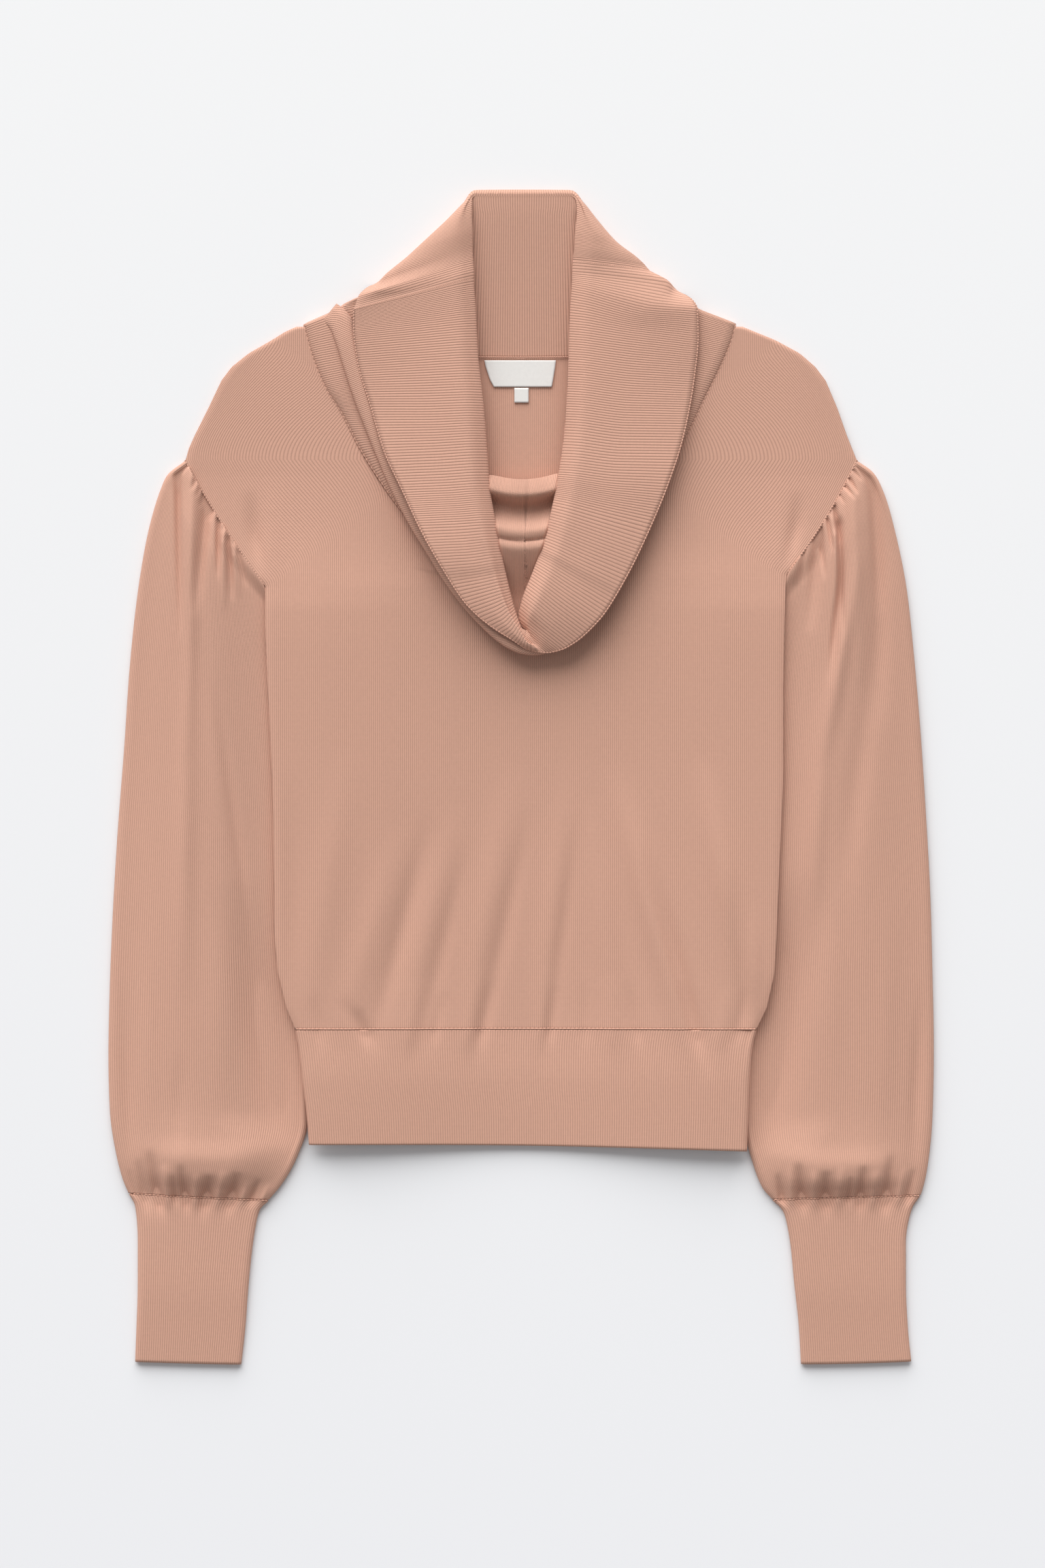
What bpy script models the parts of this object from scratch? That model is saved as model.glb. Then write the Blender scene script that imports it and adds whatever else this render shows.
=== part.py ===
"""Fine-knit pullover with a deep ribbed cowl collar, laid flat on its back.

Metres, +Z up out of the cloth, +Y towards the collar, +X to the viewer's right. The origin
is on the surface it lies on, under the middle of its outline. Every cloth piece is a thin
wall laid out from short tables of sections.

The plan tables give x to the right and y downwards in steps of 0.48 mm from the top left
corner of the surface. Heights are in millimetres above the surface.
"""
import bpy
import bmesh
import numpy as np
from mathutils import Vector

STEP = 0.00048            # metres for one step of a plan table
MID_X, MID_Y = 765.5, 1141.0
MM = 0.001
WALL = 1.2                # cloth thickness, mm
SEAM_GAP = 0.3            # space left at each seam, mm
BODY_DEPTH = 4.5          # both body panels with the air between them, mm
BEND = 1.7                # width of a folded edge's curve over half its depth
RIM_LIFT = 1.38           # each panel's edge stays this far off the body's middle height, mm
EDGE_SOFT = 5.0           # width over which a panel drops towards its edge, mm
SIDE_LIFT = 7.2           # body sides lie on the sleeves, mm
LIFT_FLAT = 55.0          # plan steps from the body side that stay lifted
LIFT_SLOPE = 105.0        # plan steps over which the body comes down to the surface
AIR = 0.4                 # least air left between two layers of a tube, mm
COLLAR_ROLL = 3.6         # bend radius of the collar's roll, mm

# Left and right edges of the body by height, hem seam to shoulder-neck point.
BODY_EDGE = (
    # y, left, right
    (1511, 435, 1111), (1480, 422, 1126), (1430, 410, 1137), (1380, 405, 1140),
    (1265, 404, 1145), (1150, 402, 1150), (1014, 395, 1150), (919, 391, 1152),
    (862, 391, 1154),
)
SHOULDER_EDGE = (
    # y, left, right
    (675, 274, 1258), (660, 278, 1252), (640, 287, 1244), (600, 307, 1230), (560, 326, 1213),
    (540, 341, 1198), (520, 366, 1175), (500, 401, 1138), (488, 420, 1108), (478, 443, 1084),
)
ARMHOLE_TOP_Y = 677.0     # where armhole and shoulder meet

# How far the body's side is lifted by the sleeve under it.
SIDE_RISE = (
    # y, share of SIDE_LIFT
    (700, 0.0), (766, 0.0), (820, 0.14), (860, 0.5), (900, 1.0), (1700, 1.0),
)

# Sleeve sections from the armhole to the cuff: outer end, middle, inner end.
SLEEVE_LEFT = (
    # outer x, y, middle x, y, inner x, y, depth
    (273, 677, 325, 766, 389.5, 860, 4.5), (246, 699, 313, 783, 387.5, 882, 5.4),
    (236, 721, 308, 808, 387.5, 903, 6.2), (219, 779, 306, 866, 405, 955, 6.4),
    (203, 871, 307, 948, 416, 1020, 6.4), (191, 983, 306, 1048, 424, 1110, 6.4),
    (183, 1100, 307, 1153, 430, 1205, 6.4), (173, 1230, 305, 1268, 436, 1305, 6.4),
    (166, 1350, 305, 1377, 443, 1402, 6.4), (162, 1450, 306, 1472, 449, 1490, 6.4),
    (160, 1550, 306, 1566, 453, 1580, 6.4), (162, 1630, 308, 1640, 453, 1645, 6.4),
    (171, 1693, 305, 1700, 437, 1700, 6.4), (181, 1732, 298, 1740, 415, 1739, 5.8),
    (189, 1752, 292, 1758, 396, 1762, 5.0),
)
SLEEVE_RIGHT = (
    (1259, 677, 1213, 762, 1156, 844, 4.5), (1284, 696, 1225, 782, 1158.5, 872, 5.4),
    (1300, 728, 1230, 812, 1157.5, 900, 6.2), (1316, 785, 1231, 862, 1140, 945, 6.4),
    (1332, 865, 1231, 936, 1130, 1000, 6.4), (1343, 965, 1232, 1028, 1122, 1087, 6.4),
    (1352, 1070, 1232, 1128, 1114, 1182, 6.4), (1360, 1190, 1233, 1240, 1107, 1287, 6.4),
    (1367, 1320, 1234, 1357, 1101, 1390, 6.4), (1370, 1430, 1232, 1457, 1096, 1480, 6.4),
    (1372, 1540, 1232, 1557, 1092, 1570, 6.4), (1370, 1640, 1231, 1648, 1093, 1650, 6.4),
    (1364, 1705, 1235, 1710, 1106, 1708, 6.4), (1358, 1738, 1239, 1744, 1120, 1744, 5.8),
    (1353, 1755, 1244, 1758, 1134, 1761, 5.0),
)
CUFF_LEFT = (
    (190, 1754, 292, 1760, 395, 1764, 5.0), (199, 1772, 290, 1775, 382, 1778, 4.8),
    (203, 1821, 288, 1821, 373, 1821, 4.6), (203, 1885, 284, 1885, 366, 1885, 4.6),
    (201, 1950, 281, 1950, 361, 1950, 4.6), (199, 2001, 277, 2003, 355, 2004, 4.6),
)
CUFF_RIGHT = (
    (1352, 1757, 1244, 1760, 1135, 1763, 5.0), (1340, 1776, 1246, 1778, 1151, 1780, 4.8),
    (1331, 1825, 1246, 1825, 1161, 1825, 4.6), (1331, 1885, 1249, 1885, 1167, 1885, 4.6),
    (1334, 1950, 1254, 1950, 1174, 1950, 4.6), (1339, 2000, 1258, 2003, 1177, 2004, 4.6),
)
WAISTBAND = (
    (435, 1512.5, 773, 1512.5, 1111, 1512.5, 4.5), (440, 1540, 772, 1540, 1105, 1540, 4.5),
    (446, 1590, 773, 1590, 1101, 1590, 4.5), (452, 1640, 776, 1640, 1099, 1640, 4.5),
    (455, 1679, 776, 1681, 1097, 1690, 4.5),
)

# Soft gathers and folds: ridges are above the cloth's own height, troughs below it.
SLEEVE_FOLDS_LEFT = (
    # from x, y, to x, y, height, half width
    (262, 712, 272, 960, -2.2, 7), (273, 705, 283, 1010, 1.2, 7),
    (306, 742, 284, 900, -2.0, 6), (318, 770, 305, 930, 1.1, 7),
    (324, 775, 322, 885, -1.6, 5), (334, 792, 335, 850, -1.3, 4),
    (346, 806, 352, 868, 0.9, 5), (288, 702, 282, 730, -1.2, 4),
    (365, 835, 372, 880, -1.0, 5), (232, 1703, 234, 1745, -1.2, 6),
    (255, 1695, 256, 1750, 0.8, 7), (276, 1722, 275, 1755, -1.2, 6),
    (330, 1700, 334, 1750, -1.2, 6), (352, 1705, 352, 1755, 0.8, 7),
)
SLEEVE_FOLDS_RIGHT = (
    (1246, 705, 1259, 735, -1.3, 4), (1238, 715, 1262, 900, 1.1, 7),
    (1226, 748, 1236, 900, -2.2, 6), (1212, 775, 1222, 930, 1.1, 7),
    (1207, 790, 1211, 865, -1.6, 5), (1192, 800, 1190, 862, 0.9, 5),
    (1178, 822, 1172, 872, -1.1, 5), (1284, 800, 1286, 960, -1.6, 9),
    (1214, 919, 1204, 1040, -1.2, 9), (1150, 1728, 1152, 1752, -1.2, 6),
    (1182, 1715, 1184, 1752, 0.8, 7), (1216, 1725, 1217, 1755, -1.2, 6),
    (1296, 1700, 1298, 1748, -1.2, 6), (1322, 1705, 1320, 1750, 0.8, 7),
)
BODY_FOLDS = (
    (389, 800, 391, 870, 0.9, 9), (579, 1400, 527, 1508, -0.8, 10),
    (620, 1380, 600, 1508, 0.6, 14), (722, 1420, 715, 1508, -0.6, 10),
    (818, 1400, 812, 1508, -0.7, 10), (868, 1370, 862, 1508, 0.6, 14),
    (1000, 1390, 1027, 1508, -0.7, 10), (1150, 800, 1153, 870, 0.9, 9),
)

# Collar sections round the neck. Each runs from the neck seam to a turn in the stand, up to
# the roll, over the fall and to the free edge. The turn has a height going in and one coming out.
COLLAR_FRONT = (
    # neck x, y, z, turn x, y, z in, z out, roll x, y, z, over x, y, z in, z out, edge x, y, z
    (447, 478, 2.9, 505, 453, 4.4, 6.6, 696, 412, 10.8, 608, 436, 13.9, 13.6, 521, 457, 11.2),
    (448, 481, 3.6, 507, 457, 5.3, 6.6, 696, 419, 10.9, 608, 440, 13.9, 13.6, 521, 460, 11.1),
    (460, 524, 3.7, 556, 506, 5.8, 6.6, 699, 465, 11.2, 610, 476, 14.2, 13.6, 521, 486, 10.8),
    (480, 572, 3.7, 582, 550, 5.8, 6.6, 702, 525, 12.0, 614, 530, 14.8, 13.9, 527, 535, 10.4),
    (503, 608, 3.7, 597, 603, 5.8, 6.6, 710, 598, 13.0, 628, 600, 15.4, 14.0, 546, 599, 10.0),
    (530, 660, 3.7, 615, 648, 5.6, 6.7, 715, 660, 13.8, 641, 664, 15.8, 14.2, 566, 666, 9.8),
    (560, 708, 3.7, 642, 668, 5.2, 6.9, 719, 716, 14.6, 656, 720, 16.2, 14.4, 592, 722, 9.6),
    (600, 762, 3.7, 668, 724, 4.8, 7.4, 729, 776, 15.6, 675, 780, 17.2, 14.6, 620, 782, 9.4),
    (650, 806, 3.7, 706, 704, 3.7, 8.4, 738, 822, 16.2, 693, 829, 17.8, 14.8, 648, 832, 9.4),
    (700, 830, 3.7, 733, 698, 3.2, 8.8, 749, 872, 16.4, 719, 881, 18.0, 14.6, 690, 890, 9.4),
    (735, 839, 3.7, 751, 698, 3.2, 8.8, 757, 898, 16.4, 746, 914, 17.8, 14.2, 735, 924, 9.2),
    (765, 842, 3.7, 768, 698, 3.2, 8.8, 764, 906, 16.2, 778, 933, 17.6, 14.0, 792, 958, 9.2),
    (795, 839, 3.7, 785, 698, 3.2, 8.8, 770, 890, 16.2, 803, 922, 17.6, 14.0, 836, 952, 9.2),
    (840, 824, 3.7, 805, 698, 3.2, 8.8, 784, 842, 16.0, 833, 877, 17.6, 14.2, 882, 910, 9.2),
    (888, 796, 3.7, 838, 701, 3.7, 8.4, 800, 797, 15.8, 860, 824, 17.4, 14.2, 920, 849, 9.4),
    (930, 757, 3.7, 876, 729, 4.8, 7.4, 813, 744, 15.4, 883, 764, 17.2, 14.2, 952, 783, 9.6),
    (968, 710, 3.7, 896, 665, 5.2, 6.9, 822, 697, 14.8, 902, 707, 16.6, 14.2, 982, 710, 9.6),
    (1000, 657, 3.7, 925, 638, 5.6, 6.7, 831, 630, 13.8, 917, 640, 16.0, 14.0, 1004, 640, 9.6),
    (1035, 587, 3.7, 942, 568, 5.8, 6.6, 836, 545, 12.8, 927, 556, 15.2, 13.8, 1019, 560, 9.8),
    (1063, 530, 3.7, 958, 508, 5.8, 6.6, 838, 475, 11.8, 931, 490, 14.6, 13.8, 1025, 500, 10.4),
    (1076, 497, 3.6, 985, 476, 5.6, 6.6, 841, 425, 11.2, 992, 447, 13.2, 12.6, 1027, 450, 10.8),
    (1080, 480, 3.6, 1014, 456, 5.3, 6.6, 842, 402, 10.9, 982, 420, 12.4, 3.8, 996, 427, 1.5),
    (1081, 477, 2.9, 1015, 452, 4.4, 6.6, 843, 386, 10.8, 956, 401, 12.2, 0.9, 971, 450, 0.75),
)
COLLAR_BACK = (
    (447, 478, 1.6, 505, 450, 3.1, 6.6, 696, 410, 10.8, 608, 434, 13.9, 13.6, 521, 455, 11.2),
    (448, 482, 0.7, 506.5, 449, 2.4, 6.8, 696, 404, 10.8, 609, 430, 13.8, 13.5, 523, 452, 10.9),
    (490, 498, 0.8, 518, 443, 3.2, 7.0, 695, 388, 10.7, 560, 427, 12.8, 12.2, 528, 438, 10.4),
    (520, 503, 0.8, 560, 425, 3.3, 7.0, 694, 368, 10.6, 558, 410, 12.2, 3.4, 549, 420, 1.3),
    (552, 508, 0.8, 602, 394, 3.4, 7.0, 694, 345, 10.5, 597, 375, 12.8, 0.9, 568, 434, 0.75),
    (612, 518, 0.8, 664, 334, 3.6, 6.9, 693, 316, 9.8, 654, 322, 12.2, 0.9, 622, 440, 0.75),
    (655, 522, 0.8, 684, 324, 4.0, 6.0, 698, 303, 7.6, 679, 299, 9.0, 0.8, 658, 444, 0.75),
    (692, 524, 0.8, 702, 322, 4.8, 5.0, 705, 297, 5.2, 705, 279, 5.1, 0.8, 694, 446, 0.75),
    (768, 525, 0.8, 768, 322, 4.8, 5.0, 768, 297, 5.2, 768, 278.5, 5.1, 0.8, 768, 447, 0.75),
    (844, 524, 0.8, 836, 322, 4.8, 5.0, 834, 297, 5.2, 834, 279, 5.1, 0.8, 845, 446, 0.75),
    (882, 521, 0.8, 853, 322, 4.0, 6.0, 842, 303, 7.6, 860, 299, 9.0, 0.8, 880, 444, 0.75),
    (918, 517, 0.8, 872, 332, 3.6, 6.9, 848, 315, 9.8, 879, 322, 12.2, 0.9, 905, 441, 0.75),
    (985, 506, 0.8, 903, 376, 3.4, 7.0, 846, 345, 10.5, 910, 357, 12.6, 0.9, 945, 444, 0.75),
    (1035, 493, 0.8, 950, 413, 4.2, 7.3, 845, 368, 10.7, 934, 379, 12.5, 0.9, 959, 448, 0.75),
    (1066, 486, 0.8, 986, 433, 4.0, 7.2, 844, 375, 10.8, 945, 389, 12.4, 0.9, 964, 449, 0.75),
    (1080, 481, 0.7, 1010, 447, 2.6, 6.9, 843, 380, 10.8, 950, 395, 12.3, 0.9, 967, 450, 0.75),
    (1081, 477, 1.6, 1015, 449, 3.1, 6.6, 843, 383, 10.8, 954, 398, 12.2, 0.9, 969, 450, 0.75),
)
# Drape folds that cross the inside of the cowl.
COWL_FOLDS = (
    # y, height, half width
    (719, 1.6, 12), (749, -1.6, 12), (784, 1.4, 11), (797, -1.6, 4), (807, 1.3, 7),
    (850, -0.6, 22),
)
COWL_HALF_WIDTH = 34.0

NECK_LABEL = (
    # y, left, right
    (530, 712, 817), (540, 714, 816), (558, 720, 813), (569, 726, 811),
)
SIZE_LABEL = ((570.5, 756, 777), (592, 756, 777))
LABEL_WALL = 1.0          # woven label, mm

KNIT_COLOUR = (0.575, 0.345, 0.262, 1.0)
LABEL_COLOUR = (0.80, 0.80, 0.79, 1.0)


def ease(ts, values, at):
    """Smooth curve through the values at ts that never overshoots them."""
    ts = np.asarray(ts, float)
    values = np.asarray(values, float).reshape(len(ts), -1)
    at = np.atleast_1d(np.asarray(at, float))
    step = np.diff(ts)[:, None]
    slope = np.diff(values, axis=0) / step
    tangent = np.zeros_like(values)
    tangent[0], tangent[-1] = slope[0], slope[-1]
    if len(ts) > 2:
        before, after = slope[:-1], slope[1:]
        w1, w2 = 2 * step[1:] + step[:-1], step[1:] + 2 * step[:-1]
        with np.errstate(divide="ignore", invalid="ignore"):
            mean = (w1 + w2) / (w1 / before + w2 / after)
        tangent[1:-1] = np.where(before * after > 0, mean, 0.0)
    i = np.clip(np.searchsorted(ts, at, side="right") - 1, 0, len(ts) - 2)
    h = (ts[i + 1] - ts[i])[:, None]
    u = (at - ts[i])[:, None] / h
    return ((2 * u**3 - 3 * u**2 + 1) * values[i] + (u**3 - 2 * u**2 + u) * h * tangent[i]
            + (3 * u**2 - 2 * u**3) * values[i + 1] + (u**3 - u**2) * h * tangent[i + 1])


def smoothstep(low, high, value):
    u = np.clip((value - low) / (high - low), 0.0, 1.0)
    return u * u * (3 - 2 * u)


def place(x, y, z_mm):
    """A point in metres from plan steps and a height in millimetres."""
    return Vector(((x - MID_X) * STEP, (MID_Y - y) * STEP, z_mm * MM))


def bow(row, u):
    """Point on a section line through its outer end, middle and inner end."""
    a, m, b = np.array(row[0:2]), np.array(row[2:4]), np.array(row[4:6])
    return a * (1 - u) * (1 - 2 * u) + m * 4 * u * (1 - u) + b * u * (2 * u - 1)


def edge_x(y):
    """Left and right plan x of the body at a height y, a seam gap inside the armholes."""
    gap = 1.5 * SEAM_GAP * MM / STEP
    found = []
    for column, sleeve, inward in ((1, SLEEVE_LEFT[0], gap), (2, SLEEVE_RIGHT[0], -gap)):
        armhole = [bow(sleeve, u) + (inward, 0.0) for u in np.linspace(0, 1, 25)]
        line = [(row[0], row[column]) for row in SHOULDER_EDGE[::-1]]
        line += [(y_at, x_at) for x_at, y_at in armhole]
        line += [(row[0], row[column]) for row in BODY_EDGE[::-1]]
        line = np.array(line)
        found.append(float(np.interp(y, line[:, 0], line[:, 1])))
    return tuple(found)


def side_rise(y):
    rows = np.array(SIDE_RISE, float)
    return SIDE_LIFT * float(ease(rows[:, 0], rows[:, 1], np.clip(y, 700, 1700))[0, 0])


def body_base(x, y):
    """Height of the body's underside, mm: its sides lie on the sleeves."""
    left, right = edge_x(y)
    inside = min(x - left, right - x)
    return side_rise(y) * (1 - smoothstep(LIFT_FLAT, LIFT_FLAT + LIFT_SLOPE, inside))


def fold_height(x, y, folds):
    """Sum of the soft ridges and troughs at a plan point, mm."""
    total = 0.0
    for x0, y0, x1, y1, height, half_width in folds:
        along = np.array((x1 - x0, y1 - y0), float)
        length = np.hypot(*along)
        rel = np.array((x - x0, y - y0))
        t = rel @ along / length**2
        off = (rel - np.clip(t, 0, 1) * along)
        fade = 1 - 0.85 * np.clip(t, 0, 1)**1.5
        total += height * fade * np.exp(-(np.hypot(*off) / half_width)**2)
    return total


def rim_curve(depth_mm, distance_mm):
    """Share of the half depth reached at a distance in from a folded edge."""
    u = np.clip(distance_mm / (depth_mm * 0.5 * BEND), 0.0, 1.0)
    return np.sqrt(1 - (1 - u)**2)


def material(name, colour, roughness):
    mat = bpy.data.materials.new(name)
    mat.use_nodes = True
    shader = mat.node_tree.nodes["Principled BSDF"]
    shader.inputs["Base Color"].default_value = colour
    shader.inputs["Roughness"].default_value = roughness
    shader.inputs["Metallic"].default_value = 0.0
    mat.diffuse_color = colour
    return mat


def face_way(bm, up):
    """Turn every face of a laid sheet to look up, or down."""
    bm.normal_update()
    if (sum(face.normal.z * face.calc_area() for face in bm.faces) > 0) != up:
        bmesh.ops.reverse_faces(bm, faces=bm.faces)


def finish(name, bm, colour, roughness, thickness, offset):
    """Turn an open cloth surface into a wall and link it."""
    mesh = bpy.data.meshes.new(name)
    bm.normal_update()
    bm.to_mesh(mesh)
    bm.free()
    mesh.shade_smooth()
    obj = bpy.data.objects.new(name, mesh)
    top.objects.link(obj)
    mesh.materials.append(material(name + "_cloth", colour, roughness))
    wall = obj.modifiers.new("wall", "SOLIDIFY")
    wall.thickness = thickness * MM
    wall.offset = offset
    return obj


def sheet(bm, rows):
    """Add an open grid whose rows of points are given, first row at the bottom."""
    across, along = len(rows[0]), len(rows)
    made = bmesh.ops.create_grid(bm, x_segments=across - 1, y_segments=along - 1, size=0.5)
    grid = sorted(made["verts"], key=lambda v: (round(v.co.y, 5), round(v.co.x, 5)))
    for k, vert in enumerate(grid):
        vert.co = rows[k // across][k % across]


def tube(bm, rings):
    """Add an open tube through rings of points."""
    count = len(rings[0])
    made = bmesh.ops.create_circle(bm, segments=count, radius=1.0, cap_ends=False)
    ring = made["verts"]
    for vert, point in zip(ring, rings[0]):
        vert.co = point
    edges = [ring[k].link_edges[0] if ring[k].link_edges[0].other_vert(ring[k])
             == ring[(k + 1) % count] else ring[k].link_edges[1] for k in range(count)]
    for points in rings[1:]:
        grown = bmesh.ops.extrude_edge_only(bm, edges=edges)["geom"]
        verts = [g for g in grown if isinstance(g, bmesh.types.BMVert)]
        edges = [g for g in grown if isinstance(g, bmesh.types.BMEdge)
                 and all(v in verts for v in g.verts)]
        follow = {}
        for vert in verts:
            below = next(e.other_vert(vert) for e in vert.link_edges
                         if e.other_vert(vert) not in verts)
            follow[vert] = ring.index(below)
        ring = sorted(verts, key=lambda v: follow[v])
        for vert, point in zip(ring, points):
            vert.co = point
    bmesh.ops.recalc_face_normals(bm, faces=bm.faces)


def flat_section(width_mm, depth_mm, top_count, under_count):
    """Loop of (share across, share of half depth) round a flattened tube."""
    r = depth_mm * 0.5 * BEND
    bend = [0.0, 0.134 * r, 0.5 * r]
    rise = [float(rim_curve(depth_mm, d)) for d in bend]
    loop = [(d / width_mm, h) for d, h in zip(bend, rise)]
    loop += [(u, 1.0) for u in np.linspace(r / width_mm, 1 - r / width_mm, top_count)]
    loop += [(1 - d / width_mm, h) for d, h in reversed(list(zip(bend, rise)))]
    loop += [(1 - d / width_mm, -h) for d, h in list(zip(bend, rise))[1:]]
    loop += [(u, -1.0) for u in np.linspace(1 - r / width_mm, r / width_mm, under_count)]
    loop += [(d / width_mm, -h) for d, h in reversed(list(zip(bend, rise))[1:])]
    return loop


def flat_tube(name, table, positions, top_count, under_count, base, folds=()):
    """A tube laid flat, through section rows at the given row positions."""
    rows = ease(range(len(table)), table, positions)
    rings = []
    for position, row in zip(positions, rows):
        depth = row[6]
        a, b = row[0:2], row[4:6]
        width = np.hypot(*(b - a)) * STEP / MM
        points = []
        for u, h in flat_section(width, depth, top_count, under_count):
            x, y = bow(row, u)
            z = base(x, y, position) + depth * 0.5 * (1 + h)
            if h > 0.99:
                z += max(fold_height(x, y, folds), AIR + 2 * WALL - depth)
            points.append(place(x, y, z))
        rings.append(points)
    bm = bmesh.new()
    tube(bm, rings)
    return finish(name, bm, KNIT_COLOUR, 0.9, WALL, -1.0)


def panel(ys, neck_ys, neck_table, surface, across):
    """A body panel from hem to shoulders with a neck opening that parts it in two."""
    edge = np.array((0.0, 1.2, 3.0, 6.0, 12.0))
    half = np.concatenate((edge, np.linspace(edge[-1], 100.0, across // 2)[1:]))

    def line(y, left, right):
        reach = (right - left) * 0.5
        steps = np.where(half <= edge[-1], half, edge[-1] + (half - edge[-1])
                         / (100.0 - edge[-1]) * (reach - edge[-1]))
        if reach < edge[-1] * 1.5:
            steps = half / 100.0 * reach
        xs = np.concatenate((left + steps, (right - steps[::-1])[1:]))
        return xs

    def points(y, xs):
        return [place(x, y, surface(x, y)) for x in xs]

    bm = bmesh.new()
    full = [points(y, line(y, *edge_x(y))) for y in ys]
    sheet(bm, full)
    middle = len(half) - 1
    for side in (0, 1):
        rows = [full[-1][:middle + 1] if side == 0 else full[-1][middle:]]
        for y in neck_ys:
            left, right = edge_x(y)
            inner = neck_x(neck_table, y)[side]
            xs = (left + (inner - left) * half / 100.0 if side == 0
                  else right - (right - inner) * half[::-1] / 100.0)
            rows.append(points(y, xs))
        sheet(bm, rows)
    bmesh.ops.remove_doubles(bm, verts=bm.verts, dist=0.00001)
    return bm


def collar_path(row):
    """Key points of one collar section, neck seam to free edge, in plan steps and mm."""
    neck, turn, roll = np.array(row[0:3]), np.array(row[3:5]), np.array(row[7:10])
    turn_in, turn_out = row[5], row[6]
    over, over_in, over_out = np.array(row[10:12]), row[12], row[13]
    edge = np.array(row[14:17])

    def near(origin, target, reach):
        way = np.asarray(target[:2]) - np.asarray(origin[:2])
        length = max(np.hypot(*way), 1e-6)
        return np.asarray(origin[:2]) + way / length * min(reach, length * 0.45)

    def point(plan, z):
        return np.array((plan[0], plan[1], z))

    bend = min(COLLAR_ROLL * 0.8, (over_in - turn_out) * 0.42)
    turn_bend = 8.0
    inner = turn + (roll[:2] - turn) * 0.5
    return np.array([
        neck,
        point(neck[:2] + (turn - neck[:2]) * 0.4, neck[2] + (turn_in - neck[2]) * 0.75),
        point(near(turn, neck, turn_bend), turn_in),
        point(turn, (turn_in + turn_out) * 0.5),
        point(near(turn, roll, turn_bend), turn_out),
        point(inner, turn_out + (roll[2] - bend - turn_out) * 0.25),
        point(near(roll, turn, 8.0), roll[2] - bend),
        roll,
        point(near(roll, over, 8.0), roll[2] + bend),
        point(near(over, roll, 12.0), over_in),
        point(over, (over_in + over_out) * 0.5),
        point(near(over, edge, 12.0), over_out),
        edge,
    ])


def cowl_relief(point):
    """Height of the drape folds between the roll lines, mm."""
    x, y = point[0], point[1]
    across = np.exp(-((x - 768.0) / (COWL_HALF_WIDTH * 1.6))**4)
    return across * sum(h * np.exp(-((y - at) / w)**2) for at, h, w in COWL_FOLDS)


# Where a collar section is sampled, counted in key points from the neck seam.
FRONT_SPOTS = np.array((0, 1, 1.6, 2, 2.5, 3, 3.5, 4, 4.34, 4.67, 5, 5.34, 5.67, 6, 6.5, 7,
                        7.5, 8, 8.6, 9.5, 10.5, 12))
BACK_SPOTS = np.array((0, 1, 2, 2.5, 3, 3.5, 4, 5, 6, 6.5, 7, 7.5, 8, 9, 9.5, 10, 10.5, 11, 12))


def collar(name, table, start, stop, columns, spots):
    keys = np.array([collar_path(row) for row in table])
    ts = np.linspace(start, stop, columns)
    paths = ease(range(len(table)), keys.reshape(len(table), -1), ts)
    rows = []
    for flat in paths:
        path = ease(range(13), flat.reshape(13, 3), spots)
        inside = (spots > 3.2) & (spots < 6.0)
        for k in np.nonzero(inside)[0]:
            path[k, 2] += cowl_relief(path[k])
        rows.append([place(*p) for p in path])
    bm = bmesh.new()
    sheet(bm, rows)
    return finish(name, bm, KNIT_COLOUR, 0.9, WALL, 0.0)


def neck_x(table, y):
    """Plan x of a panel's neckline on both sides at a height y, a seam gap off the collar."""
    keys = np.array([row[0:2] for row in table], float)
    dense = ease(range(len(keys)), keys, np.linspace(0, len(keys) - 1, 800))
    low = int(np.argmax(dense[:, 1]))
    gap = 2.5 * SEAM_GAP * MM / STEP
    left = np.interp(y - gap, dense[:low + 1, 1], dense[:low + 1, 0])
    right = np.interp(y - gap, dense[low:, 1][::-1], dense[low:, 0][::-1])
    return left - gap, right + gap


def folded_share(x, y):
    """Rise of the body wall from its side and shoulder edges."""
    left, right = edge_x(y)
    inside = min(x - left, right - x) * STEP / MM
    underarm_y = (SLEEVE_LEFT if x - left < right - x else SLEEVE_RIGHT)[0][5]
    if ARMHOLE_TOP_Y < y < underarm_y:
        to_end = min(y - ARMHOLE_TOP_Y, underarm_y - y) * STEP / MM
        inside = np.hypot(max(inside, 0.0), to_end)
    return float(np.sin(np.clip(inside / EDGE_SOFT, 0.0, 1.0) * np.pi * 0.5))


def front_surface(x, y):
    fade = smoothstep(0, 40, min(x - edge_x(y)[0], edge_x(y)[1] - x))
    rise = RIM_LIFT + (BODY_DEPTH * 0.5 - RIM_LIFT) * folded_share(x, y)
    return body_base(x, y) + BODY_DEPTH * 0.5 + rise + fade * fold_height(x, y, BODY_FOLDS)


def back_surface(x, y):
    drop = RIM_LIFT + (BODY_DEPTH * 0.5 - RIM_LIFT) * folded_share(x, y)
    return body_base(x, y) + BODY_DEPTH * 0.5 - drop


def label(name, table):
    rows = [[place(x, y, WALL + SEAM_GAP) for x in np.linspace(left, right, 5)]
            for y, left, right in table[::-1]]
    bm = bmesh.new()
    sheet(bm, rows)
    return finish(name, bm, LABEL_COLOUR, 0.7, LABEL_WALL, 1.0)


for old in list(bpy.data.objects):
    bpy.data.objects.remove(old)
top = bpy.data.collections.new("cowl_neck_top")
bpy.context.scene.collection.children.link(top)

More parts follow.
